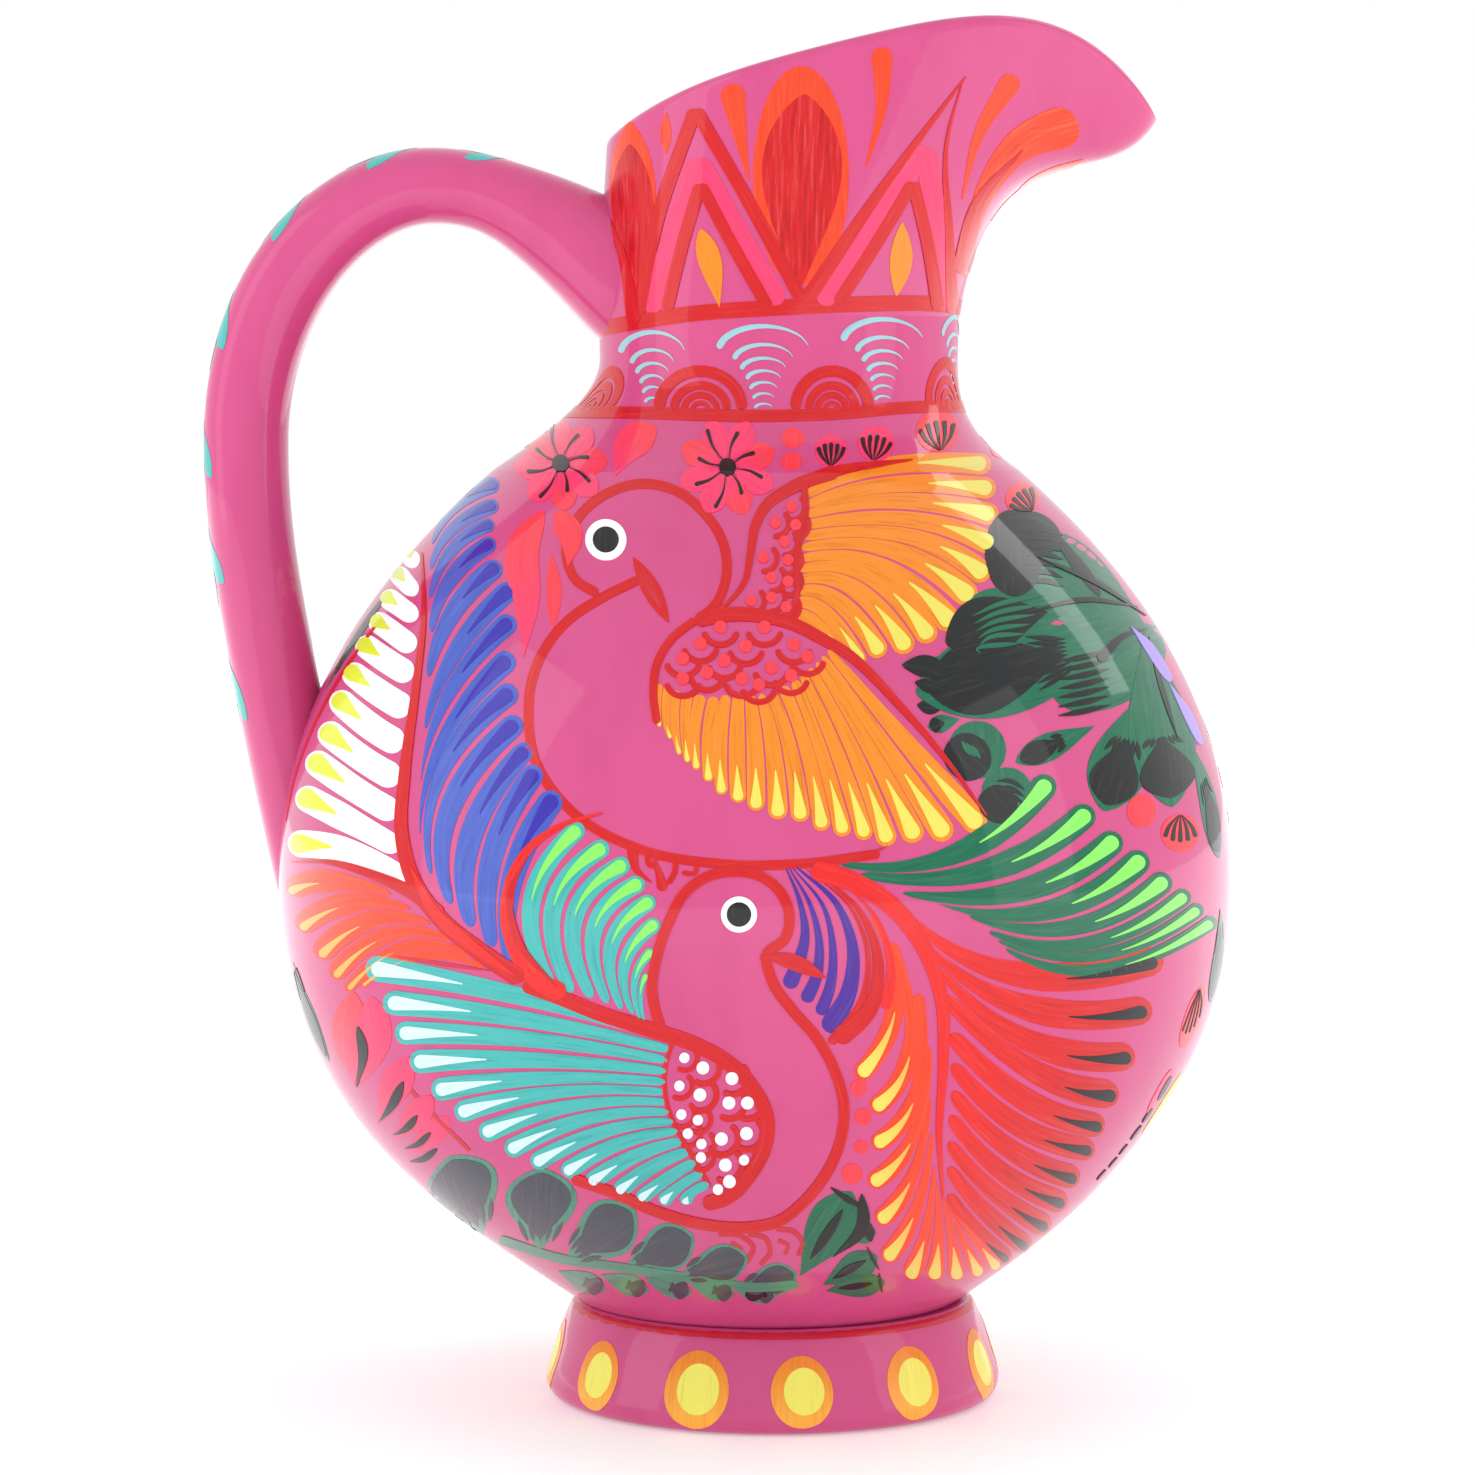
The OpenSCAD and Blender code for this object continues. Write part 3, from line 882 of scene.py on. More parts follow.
def blossom(x, z, petals, paint, length, half, turn=0):
    # pointed petals round a black middle with black threads
    parts = []
    for k in range(petals):
        a = math.radians(turn + 360 / petals * k)
        c, s = math.cos(a), math.sin(a)
        parts.append(mark("petal", half, paint, (x + c, z + s), (x + length * c, z + length * s),
                          tip="coral" if k % 3 == 0 else paint, layer=k % 2))
    for k in range(petals):
        a = math.radians(turn + 8 + 360 / petals * k)
        c, s = math.cos(a), math.sin(a)
        reach = length * (0.62 + 0.12 * (k % 3))
        parts.append(mark("drop", 0.42, "black", (x + c, z + s),
                          (x + reach * math.cos(a + 0.12) * 0.6, z + reach * math.sin(a + 0.12) * 0.6),
                          (x + reach * c, z + reach * s), layer=2))
    return parts + dot(1.7, "black", (x, z), layer=3)


def bud(x, z, size, paint="coral", turn=90, space="board"):
    # a soft spot with a tuft of black lines, open towards the turn angle, that meet at its foot
    a = math.radians(turn)
    c, s = math.cos(a), math.sin(a)
    parts = dot(size, paint, (x, z), streak=0.2, space=space)
    for k in range(5):
        q = (k - 2) / 2
        ends = [(0.82 * q, 0.5 - 0.28 * q * q), (0.62 * q, -0.3), (0.08 * q, -0.95)]
        spots = [(x + size * (u * s + v * c), z + size * (v * s - u * c)) for u, v in ends]
        parts.append(mark("taper", 0.45, "leafBlack", *spots, layer=2, space=space))
    return parts


def leafOval(x0, z0, x1, z1, half, shade=0.7, threads=5, layer=0, rim="darkGreen", heart="leafBlack",
             space="board"):
    # a leaf from its stalk end to its tip, with a dark heart at the tip and dark threads drawn back from it
    a, b = np.array([x0, z0], float), np.array([x1, z1], float)
    run = b - a
    length = np.linalg.norm(run)
    side = np.array([-run[1], run[0]]) / length
    parts = [mark("petal", half, rim, a, b, layer=layer, streak=0.5, space=space),
             mark("petal", half * 0.84, heart, a + run * (1 - shade), b - run * 0.05, layer=layer + 1,
                  space=space)]
    for k in range(threads):
        q = (k - (threads - 1) / 2) / max(1, (threads - 1) / 2)
        ends = [a + run * (0.9 - 0.62 * shade) + side * half * 0.62 * q,
                a + run * (1.02 - 0.5 * shade - 0.55 * shade) + side * half * 0.34 * q]
        parts.append(mark("leaf", 0.5, heart, *ends, layer=layer + 1, space=space, samples=16))
    return parts


def upperBird():
    # the upper bird's outline, beak and eye, and its wing roots with a coral dot in each scale
    dots = [(-10.5, 154.3), (-1.7, 154.3), (-14.5, 151), (-5.4, 150.5), (4.2, 150.8), (-18, 148),
            (-9.7, 147.6), (-0.3, 146.2), (6.9, 148.4), (-18, 144), (-13.2, 145.2), (-6.2, 144),
            (-2.8, 142.8), (3.6, 144.6)]
    backDots = [(3.7, 178.4), (0.5, 175.2), (4.5, 174.7), (2.3, 171.4), (-1.9, 168.2), (3, 167.7),
                (-0.3, 164.2), (3, 163.4), (-4.4, 159.6), (-0.3, 160.2), (2.6, 158.3)]
    return [
        line(1.0, "red", (-35, 161), (-39.6, 164), (-41.4, 169.4), (-39.2, 175.9), (-34.4, 180.4), (-27, 183),
             (-19.7, 181.8), (-14.2, 177.7), (-10, 171.3), (-9.3, 164.8), (-11.4, 159), (-15.2, 155.6)),
        line(1.0, "red", (-26.6, 164), (-35.3, 159.6), (-40.8, 155.9), (-45.4, 150.4), (-48.2, 143.9),
             (-48.9, 137.3), (-47.6, 127.8), (-40.6, 117.8), (-26.6, 109.9), (-10.6, 107),
             (4, 106.9), (21.4, 109)),
        mark("leaf", 1.8, "red", (-28, 168.4), (-24.6, 162.4), (-20.8, 155.2), layer=1),
        mark("leaf", 0.5, "clay", (-26.4, 165.2), (-24, 161), (-21.8, 157.4), layer=2),
        dot(4.1, "white", (-33.4, 171.8), layer=1), dot(2.6, "black", (-33.4, 171.8), layer=2),
        mark("taper", 1.4, "red", (13, 185.6), (3.4, 182), (-1.4, 178.6), (-3.4, 175), (-4.5, 169),
             (-5.6, 163.6), (-9, 159.2), (-14.8, 155.8), samples=72, layer=2),
        mark("taper", 1.3, "red", (6, 183.3), (14, 185.8), (21.6, 187), (28, 187.8), samples=40, layer=2),
        line(0.65, "red", (6.2, 182.6), (6.6, 178), (5.4, 172), (4.6, 167), (4.8, 161), (3.4, 156.2),
             layer=2),
        mark("taper", 1.5, "red", (-15.6, 155.6), (-9.6, 156.8), (-2.5, 156.6), (3.4, 155.2), (9.8, 152),
             (15.2, 148.8), (20, 144.4), (24.8, 139.2), (30.2, 133.2), (36.6, 125.2), (42.7, 116.6),
             samples=90, layer=2),
        line(0.8, "red", (-15.4, 155.8), (-20.2, 152), (-23.3, 146.6), (-23.9, 141.6), (-23.2, 135), layer=2),
        scallop(0.6, "red", dots, 3.5, -90, layer=1), dot(1.25, "coral", *dots, layer=3),
        scallop(0.55, "red", backDots, 2.7, -25, layer=1), dot(1.1, "coral", *backDots, layer=3),
    ]


def upperWings():
    # its two amber wings, the far one above the near one
    return [
        fan(12, [(6.4, 180.5), (6.2, 175.2), (5.4, 169), (4.8, 163), (4.4, 157)],
            [(21.6, 186.4), (23.8, 182.9), (24.8, 179.6), (27, 175.9), (27, 172.5), (24.3, 169.6),
             (21.6, 166.6), (19.3, 164.4), (16.3, 162), (13.2, 159.4), (10.8, 157), (9, 154.8)],
            [(43.6, 186.8), (44.6, 181.8), (45, 176.4), (44.5, 170.4), (43, 164), (40.2, 159.4), (36.4, 154),
             (31.8, 151.4), (27.2, 149.2), (21.8, 148.4), (18, 147), (14.4, 149)],
            "amber", "paleYellow", fill=0.93, widest=2.6, glowStart=0.68, glowShare=0.8),
        fan(18, [(-22.8, 143), (-18.6, 141.4), (-12.1, 140.4), (-6.2, 141.2), (-0.9, 140.9), (4.5, 144),
                 (8.2, 146.8), (11, 149.8)],
            [(-23.1, 138.6), (-21.4, 136.4), (-19.6, 134.8), (-17.6, 134.2), (-15.6, 133.6), (-13, 132),
             (-10.5, 131.2), (-7.2, 130.4), (-3.6, 130.2), (0, 130), (3.4, 129.8), (6.8, 129.4), (9.8, 129),
             (13, 128.8), (16.3, 129), (19.4, 129.8), (22.2, 131), (25.2, 133)],
            [(-22.6, 134.4), (-20.4, 132), (-18.6, 128.8), (-17, 127.2), (-15.2, 125.8), (-12.8, 123.4),
             (-10.2, 120.8), (-6.9, 119.2), (-3.4, 117.6), (1, 115.9), (5.6, 115.4), (9.9, 113.6),
             (14.2, 112.5), (18.6, 111.8), (23.2, 110.6), (28.8, 111.4), (35, 111.8), (42, 113.6)],
            "amber", "paleYellow", fill=0.93, widest=2.5, glowStart=0.66, glowShare=0.78),
        mark("leaf", 0.5, "red", (8, 106.4), (16, 108), (22.8, 110.4), layer=2),
    ]


def upperTails():
    # the green, red and orange tail feathers at the right, and the plumes curling down between the birds
    return [
        fan(8, [(13.6, 107), (17.6, 104.9), (26, 101.2), (33.2, 99), (39.3, 96.6), (43.3, 93.4), (45.2, 91.6),
                (46.6, 90)],
            [(37, 109.2), (43, 105.8), (50.1, 101.8), (55.5, 97.8), (60.2, 94.4), (63.4, 91.2), (65.4, 88.8),
             (66, 86)],
            [(55.7, 124.4), (63.8, 118.2), (69.3, 112.8), (74.6, 109), (79.2, 104.6), (83.2, 101.4),
             (85.8, 98.6), (88.6, 96)],
            "darkGreen", "lightGreen", fill=0.84, widest=2.6, glowStart=0.6, glowShare=0.68, layer=1),
        fan(11, [(26, 97.6), (29.8, 91.6), (33.2, 86), (34.5, 80.5), (35.6, 73), (35.9, 67), (35.9, 61.5),
                 (35.5, 56.6), (35.2, 51.4), (35.2, 46.4), (35.2, 41)],
            [(48.7, 85), (50.4, 78.4), (51.6, 71.4), (52.2, 65.6), (50.6, 59.8), (48.9, 54.8), (47.4, 50),
             (46, 45.3), (44, 41.6), (42, 37.9), (40.4, 33.8)],
            [(78, 88.4), (75.8, 78.2), (72.4, 68.8), (69.2, 61), (66.4, 54.6), (64.4, 49.8), (61.4, 44),
             (58.9, 39), (55.5, 34), (51.4, 30), (47.4, 27.6)],
            "brightRed", "black", tip="red", fill=0.86, widest=2.9, glowStart=0.68, glowShare=0.5,
            glowShift=-0.12),
        fan(11, [(19.7, 96.9), (23.7, 91.3), (29, 81), (31.2, 70.3), (31.2, 60.2), (31.8, 53.4), (32.2, 46.7),
                 (32.8, 43.6), (33.6, 41.8), (34.4, 39.9), (35, 38.6)],
            [(24.6, 79.4), (27.6, 70.6), (28.6, 61), (28.2, 52.8), (28, 44.8), (28.6, 37.9), (30.5, 33.1),
             (33.1, 32.4), (35.8, 31.6), (38.4, 31), (41.2, 31)],
            [(16.8, 64.2), (19.6, 57.8), (19.8, 50.8), (19.2, 43), (20.8, 35.4), (22.2, 27.8), (27, 24),
             (32, 23.8), (36.8, 23.8), (41.4, 24.6), (45, 26)],
            "orange", "honey", fill=0.84, widest=1.9, glowStart=0.56, glowShare=0.8, glowTip="paleYellow"),
        mark("taper", 2.1, "brightRed", (7.6, 106), (16, 103.4), (23.7, 98.6), (30, 90.6), (33.6, 80.5),
             (34, 67), (33.2, 53.4), (34, 40), samples=72, layer=2),
        mark("drop", 2.1, "red", (9, 105.2), (17.4, 97.4), (21, 87.6), (19.6, 78.4), (12.6, 71.6),
             samples=50, layer=1),
        mark("drop", 1, "red", (6.6, 106), (15.6, 98), (18.9, 89.6), (17.8, 79.8), (11.4, 71), samples=50),
        mark("drop", 1.2, "brightRed", (13, 104.6), (21.2, 95), (23.6, 85), (22.4, 78), samples=40),
        [mark("drop", half, "indigo", *path, samples=40) for half, path in (
            (1.7, [(2.6, 106.2), (5.4, 99.4), (6.4, 92.6), (4.6, 86), (3, 82.2)]),
            (1.45, [(3.2, 106.3), (7.6, 98.4), (9.3, 90.4), (8.6, 84.2), (6.4, 79.4)]),
            (1.35, [(3.8, 106.4), (10.2, 98.2), (12, 89.6), (11.5, 82.8), (9.4, 76.8)]),
            (2.2, [(4.6, 106.5), (13, 98.6), (16, 89.6), (15.2, 81.6), (10.8, 73.4)]))],
        dot(1.7, "coral", (17.1, 62.2), (18, 56.4)), dot(1.4, "coral", (17.6, 50.4)),
        dot(2.1, "coral", (15.8, 45)),
    ]


def lowerBird():
    # the lower bird, facing right: outline, beak, eye, a breast of white dots in scales, and small strokes
    # above its head and under its belly
    dots = [(-17.7, 68.3), (-14, 66.3), (-8.2, 64.2), (-18.7, 62.7), (-14.6, 60.9), (-8.8, 59.3),
            (-5.1, 59.3), (-18.3, 57), (-15, 55.9), (-10.3, 52.1), (-5.3, 53.2), (-17, 53.2),
            (-14.3, 51.1), (-5.8, 47.9), (-14.4, 48.4), (-9.5, 46.9), (-8.7, 43.6), (-11, 42)]
    big = [dots[k] for k in (1, 2, 4, 5, 6, 9, 10, 15, 16)]
    small = [dots[k] for k in (0, 3, 7, 8, 11, 12, 13, 14, 17)]
    return [
        line(1.05, "red", (-22.4, 73.6), (-24.2, 82), (-23.2, 88.6), (-20.9, 95.2), (-17.6, 101.2),
             (-13, 104.5), (-7.7, 105.5), (-2.4, 104.5), (1.6, 101.2), (3.3, 96.5), (2.3, 91.9),
             (-1, 89.3), (-2, 87.3), layer=2),
        line(1.1, "red", (-1.6, 88), (0.3, 82.6), (4.3, 77.3), (8.9, 72), (12.2, 66), (14.2, 58.7),
             (13.6, 52.1), (10.9, 45.5), (6.3, 39.6), (1.6, 35.8), (-6.3, 34.3), (-13.6, 34.9),
             (-22.9, 37.4), (-32.2, 41.4), (-40.2, 44.2), layer=2),
        line(1.5, "red", (-50, 83), (-42.8, 80.4), (-34.9, 77.2), (-24.2, 73.8), (-16.3, 71.2), (-9.7, 67.8),
             (-4.3, 62.6), (-1.2, 56.1), (-1.6, 50.8), (-4.6, 45), (-9.4, 40.3), (-14, 38.9), layer=2),
        line(0.45, "red", (-20, 71.6), (-21.6, 66), (-21.4, 60), (-19.6, 54.6), (-16.6, 49.4), (-12.6, 42.4),
             layer=1),
        scallop(0.6, "red", big, 3.3, -35, 88, layer=1), scallop(0.5, "red", small, 2.6, -35, 88, layer=1),
        dot(1.25, "white", *big, layer=3), dot(1.0, "white", *small, layer=3),
        mark("leaf", 1.6, "red", (-2, 88.8), (4, 87.4), (10.6, 84.2), layer=3),
        dot(3.6, "white", (-6.8, 96.9), layer=1), dot(2.45, "black", (-6.8, 96.9), layer=2),
        mark("taper", 1.2, "red", (-28.2, 110.4), (-27.4, 106), (-24.2, 103.2)),
        mark("drop", 1.3, "red", (-24.6, 110), (-23.2, 106.4), (-21.9, 101.6)),
        lines(0.6, "red", [(-25.2, 108.6), (-24.6, 106.8), (-23.4, 106.6)],
              [(-19.4, 107.6), (-19.8, 105), (-21, 103)]),
        line(0.5, "red", (-15.2, 107.6), (-15.6, 105.2), (-18.2, 105.2)),
        lines(0.5, "clay", [(-11, 33), (-6.6, 32.6), (-4, 30.4), (-5.4, 27)],
              [(-5, 33), (-1.4, 32), (-0.6, 29.2), (-2.6, 26.8)],
              [(0.6, 34), (4.2, 33.4), (6, 31), (5, 28.6)]),
        lines(0.4, "clay", [(-8.4, 31.4), (-6.4, 29.8), (-7.4, 27.4)], [(1, 31.8), (3, 30.6), (2.4, 28.8)]),
    ]


def lowerWings():
    # its teal wing, and the teal and green plume behind its head with a red rim
    return [
        fan(15, [(-19.9, 72), (-21.3, 67), (-21.6, 62), (-20.8, 57.4), (-18.8, 53), (-16, 48.2), (-12.8, 43)],
            [(-50.8, 80.6), (-50, 76), (-49.2, 72), (-48, 67.8), (-45.8, 64.2), (-43.2, 61.4), (-40.4, 58.6),
             (-37.4, 56), (-34.2, 53.4), (-31, 51), (-27.6, 48.6), (-24.2, 46.4), (-20.8, 44.4),
             (-18.4, 42.8), (-16.2, 41.4)],
            [(-81.4, 86.4), (-78, 79.4), (-75.6, 73.2), (-72.6, 67.4), (-68.2, 61.6), (-63.6, 57),
             (-58.6, 52.8), (-53.4, 49.4), (-48.2, 46.8), (-42, 45), (-37, 43), (-31.4, 41.2), (-27, 39.8),
             (-22.4, 39.2), (-17.6, 39)],
            "teal", "paleTeal", fill=0.79, widest=2.7, glowStart=0.68, glowShare=0.66, layer=1),
        fan(8, [(-44, 82.4), (-40.2, 81.3), (-36.2, 80.3), (-33, 79.2), (-30.2, 78), (-27.9, 77), (-26.6, 76),
                (-25.6, 75.2)],
            [(-48.2, 99.6), (-43.8, 98.6), (-39.6, 96.6), (-35.6, 94.2), (-32.2, 91), (-29.6, 87.2),
             (-27.6, 84), (-26.5, 80.8)],
            [(-38, 114.8), (-32.9, 110.9), (-28.7, 107.4), (-25.7, 103.6), (-23.6, 100), (-22.8, 95.6),
             (-23.9, 89.8), (-25.1, 85)],
            "teal", "lightGreen", fill=0.8, widest=1.9, glowStart=0.5, glowShare=0.8),
        mark("taper", 1.9, "brightRed", (-41.5, 81), (-46.6, 83.4), (-51.4, 90), (-53.2, 97), (-52.2, 104),
             (-48.6, 110.2), (-42.4, 114.6), (-34, 117.2), samples=60, layer=2),
        mark("leaf", 0.7, "red", (-43, 82.2), (-51, 92), (-52.6, 101), (-49, 108.6), samples=40, layer=3),
    ]


def sidePlumes():
    # the blue, white and orange plumes at the left, on either side of a red stem
    return [
        fan(13, [(-68.2, 171), (-68.4, 166), (-68.5, 160.3), (-68.3, 153.4), (-68.9, 144.5), (-69.5, 134.1),
                 (-70.4, 123.8), (-70.6, 113), (-68.4, 105), (-64.4, 99), (-60.2, 94.4), (-56, 90.4),
                 (-52.4, 86.8)],
            [(-63, 179), (-64, 174), (-64.2, 169.8), (-64.4, 164), (-63.9, 157.4), (-63.4, 149.6),
             (-64.6, 141.4), (-66, 131.8), (-66.4, 125), (-64.6, 118), (-60.4, 112.6), (-56.2, 108.4),
             (-52, 104.4)],
            [(-54.8, 183.2), (-55, 179), (-55.8, 175.2), (-55.6, 171.6), (-54.5, 167), (-51.8, 162.6),
             (-51.8, 156.2), (-52, 148.8), (-51.4, 142.2), (-50.4, 136), (-48.6, 130.8), (-46.8, 126.4),
             (-43, 121.2)],
            "blue", "deepBlue", fill=0.86, widest=2.5, glowStart=0.62, glowShare=0.72),
        fan(11, [(-71.4, 166.4), (-71.2, 161), (-71.2, 156), (-71.6, 150), (-72, 144.5), (-72.6, 137.6),
                 (-73.9, 130.7), (-74.6, 123.8), (-75, 116.9), (-74.6, 110), (-73, 104)],
            [(-72.2, 167.8), (-73, 162.8), (-74.2, 158.2), (-75.6, 153), (-77.2, 147.6), (-79, 141.4),
             (-80.6, 134.6), (-82, 128), (-83.4, 121.8), (-84.6, 115.6), (-85.2, 109.6)],
            [(-73, 169.6), (-75.8, 166), (-78.2, 161), (-80.4, 156.4), (-83, 151.8), (-85.6, 146.4),
             (-88, 141), (-90.4, 134.6), (-93, 128.6), (-95.2, 121.2), (-97, 111)],
            "white", "lime", fill=0.86, widest=2.7, glowStart=0.62, glowShare=0.98),
        fan(6, [(-76.5, 101), (-71.6, 97.2), (-66.4, 93.4), (-61.6, 89.4), (-58, 86.4)],
            [(-88.6, 103.6), (-84.7, 99.2), (-80.4, 95.8), (-77, 92.8), (-73.6, 90.4), (-70.6, 88.6)],
            [(-97.2, 101.6), (-95, 94), (-91.2, 88.4), (-88.2, 84.2), (-85.4, 81.6), (-82.4, 82.4)],
            "orange", "honey", fill=0.9, widest=2.4, glowStart=0.6, glowShare=0.42, glowShift=0.2),
        mark("taper", 1.9, "red", (-50, 83.8), (-58.5, 89.4), (-66.1, 95.6), (-71.6, 103.2), (-74.2, 113),
             (-73.6, 125), (-71.4, 142), (-69.8, 157), (-70.2, 169.4), samples=90, layer=2),
        mark("leaf", 1.2, "brightRed", (-51, 84.4), (-60, 90.6), (-68, 98), (-72.6, 107),
             samples=50, layer=3),
        mark("taper", 1.5, "red", (-66, 96.6), (-72.3, 101.3), (-79.9, 104.8), (-88.8, 107.4), (-96.4, 107.4),
             samples=40, layer=2),
        mark("leaf", 0.4, "clay", (-56, 85.6), (-66, 87), (-76, 88.6), layer=1),
        line(1.3, "red", (-262, 157), (-267, 148), (-272, 139), (-277, 128), (-279, 117), space="belly"),
        leafOval(-277, 143, -271, 162, 4.4, 0.8, 3, space="belly"),
    ]


def flowers():
    # two blossoms, loose petals and buds in a row under the neck
    return [
        blossom(-9.1, 186.3, 8, "hotPink", 10, 2.7, 20), blossom(-42.4, 187, 8, "hotPink", 9.4, 2.6, 5),
        mark("petal", 3.4, "hotPink", (-31.6, 184.6), (-28.6, 190.8), (-23.4, 194.4), tip="coral"),
        mark("petal", 3.4, "hotPink", (-49.8, 148.4), (-49.2, 159), (-50, 170), (-46, 177.6), samples=40,
             tip="coral"),
        mark("petal", 2.6, "coral", (-41, 166.5), (-40.4, 172), (-43.2, 177.6), layer=1),
        mark("leaf", 1.5, "coral", (-44, 154), (-43.8, 163), (-44.4, 169)),
        dot(2.3, "coral", (4, 192.2), tall=0.9), dot(2.1, "coral", (3.7, 187.5), tall=0.85),
        bud(11.6, 189.6, 3.2, "hotPink"), bud(20.6, 191, 3.6, "hotPink", 80), bud(32.8, 193.6, 4.2, turn=100),
        bud(49.8, 180, 3.3, turn=130), dot(2.2, "hotPink", (45.6, 190.4)),
    ]


def leafCluster():
    # the dark leaves at the right, the buds and drops under them, and the leaves round the edge
    return [
        mark("petal", 8.4, "darkGreen", (75.4, 153.4), (59.6, 163), (44.4, 170.6), streak=0.5),
        mark("petal", 5.6, "darkGreen", (77, 154.4), (67, 152.6), (55, 149.6), streak=0.5),
        mark("oval", 5.8, "leafBlack", (48.4, 160.4), (48.2, 168.6), (47.4, 177.8), layer=1),
        mark("oval", 3.6, "leafBlack", (45.4, 173.6), (51, 174), (57.4, 170.6), layer=1),
        [mark("leaf", 0.55, "leafBlack", (50.4, z), (54.4, z + 0.4), (58, z - 0.8), layer=1)
         for z in (163.2, 165, 166.8, 168.6, 170.2, 171.8, 173.4)],
        mark("oval", 7.6, "darkGreen", (56, 140.6), (78, 151.6), streak=0.5),
        mark("petal", 6.9, "darkGreen", (60, 158.4), (48, 156.4), (35.8, 151.4), layer=1, streak=0.5),
        mark("petal", 6.2, "leafBlack", (55, 157.4), (46, 155.4), (34.6, 151.2), layer=2),
        [mark("leaf", 0.5, "darkGreen", (54.4 - k, 160.6 - 1.9 * k), (45 - 0.8 * k, 158.8 - 1.9 * k),
              (39.6 + 0.4 * k, 156.4 - 1.5 * k), layer=3) for k in range(6)],
        leafOval(74, 152.6, 28.6, 141.2, 9, 0.66, 9, layer=1),
        [mark("leaf", 0.6, "leafBlack", (57, z), (62, z + 0.9), (67.4, z + 2.2), layer=2)
         for z in (136.6, 138.4, 140.2, 142, 143.8, 145.6, 147.4)],
        mark("petal", 2.5, "darkGreen", (45, 145), (38, 145.2), (31, 147.6), layer=2, streak=0.5),
        mark("leaf", 2.2, "leafBlack", (35.4, 145.2), (31, 146.4), (25.8, 146.8), layer=3),
        mark("leaf", 1.4, "leafBlack", (34, 141.6), (31, 142.6), (28.4, 143.4), layer=3),
        mark("leaf", 1.6, "leafBlack", (28.8, 138.8), (31.4, 138.5), (34.2, 138.8), layer=1),
        leafOval(37.4, 136, 31, 134.4, 1.8, 0.5, 1), dot(5.8, "darkGreen", (40.8, 129.8), streak=0.5),
        mark("oval", 4.6, "leafBlack", (36.4, 132.6), (38.8, 128.6), (42.6, 125.2), layer=1),
        [mark("leaf", 0.5, "darkGreen", (37.6 + k, 131.6 - 0.4 * k), (39.4 + k, 128.6 - 0.3 * k), layer=2)
         for k in range(3)],
        dot(5.1, "darkGreen", (46.8, 121.2), streak=0.5),
        mark("oval", 3.9, "leafBlack", (43.2, 122.4), (45, 119.2), (48.6, 117.6), layer=1),
        [mark("leaf", 0.5, "leafBlack", (44.6, 123.6 - 1.5 * k), (47.4, 123.6 - 1.5 * k),
              (50.4, 121.8 - 1.5 * k), layer=1) for k in range(3)],
        leafOval(64.4, 134.6, 48.6, 127.4, 2.8, 0.6, 4),
        leafOval(73.4, 140.6, 66.2, 117.6, 5.9, 0.62, 6, layer=1),
        leafOval(74.2, 153.4, 79.8, 118.4, 6.6, 0.4, 6, layer=1),
        leafOval(-37, 135, -31, 111, 6.8, 0.62, 5, space="belly"),
        leafOval(-43, 178, -47, 161, 5.6, 0.9, 2, space="belly"),
        [mark("leaf", 0.5, "leafBlack", *path, layer=3)
         for path in ([(74.6, 156.6), (66, 162.4), (52.9, 168.3)], [(73, 158.4), (62.6, 159.8), (50, 157)])],
        mark("taper", 1.1, "leafBlack", (65, 147.6), (70.2, 152.6), (75, 154), layer=3),
        mark("leaf", 0.5, "leafBlack", (75, 152.4), (77.2, 143.6), (80.8, 132), layer=3),
        mark("petal", 4, "violet", (-40, 156), (-36, 151), (-30, 146), layer=3, space="belly"),
        mark("petal", 3.6, "violet", (-35, 145), (-32, 139.5), (-26, 133), layer=3, space="belly"),
        dot(2.9, "coral", (73.7, 117.6), tall=1.15), bud(81.4, 113.2, 3.8, turn=-90),
        bud(-38, 80.4, 6, turn=-80, space="belly"), leafOval(-31, 101, -25, 82, 5.4, 0.8, 3, space="belly"),
        dot(2.1, "leafBlack", (-38, 66.4), tall=1.2, layer=2, space="belly"),
        dot(1.5, "leafBlack", (-39, 61), (-38.6, 57.4), layer=2, space="belly"),
        dot(1.1, "leafBlack", (-39, 54), (-39.4, 51.4), (-41, 49), layer=2, space="belly"),
        mark("oval", 4.4, "lime", (-27, 68), (-29, 56), tip="paleYellow", space="belly"),
        dot(3.4, "hotPink", (-40, 66), tall=1.3, space="belly"),
    ]


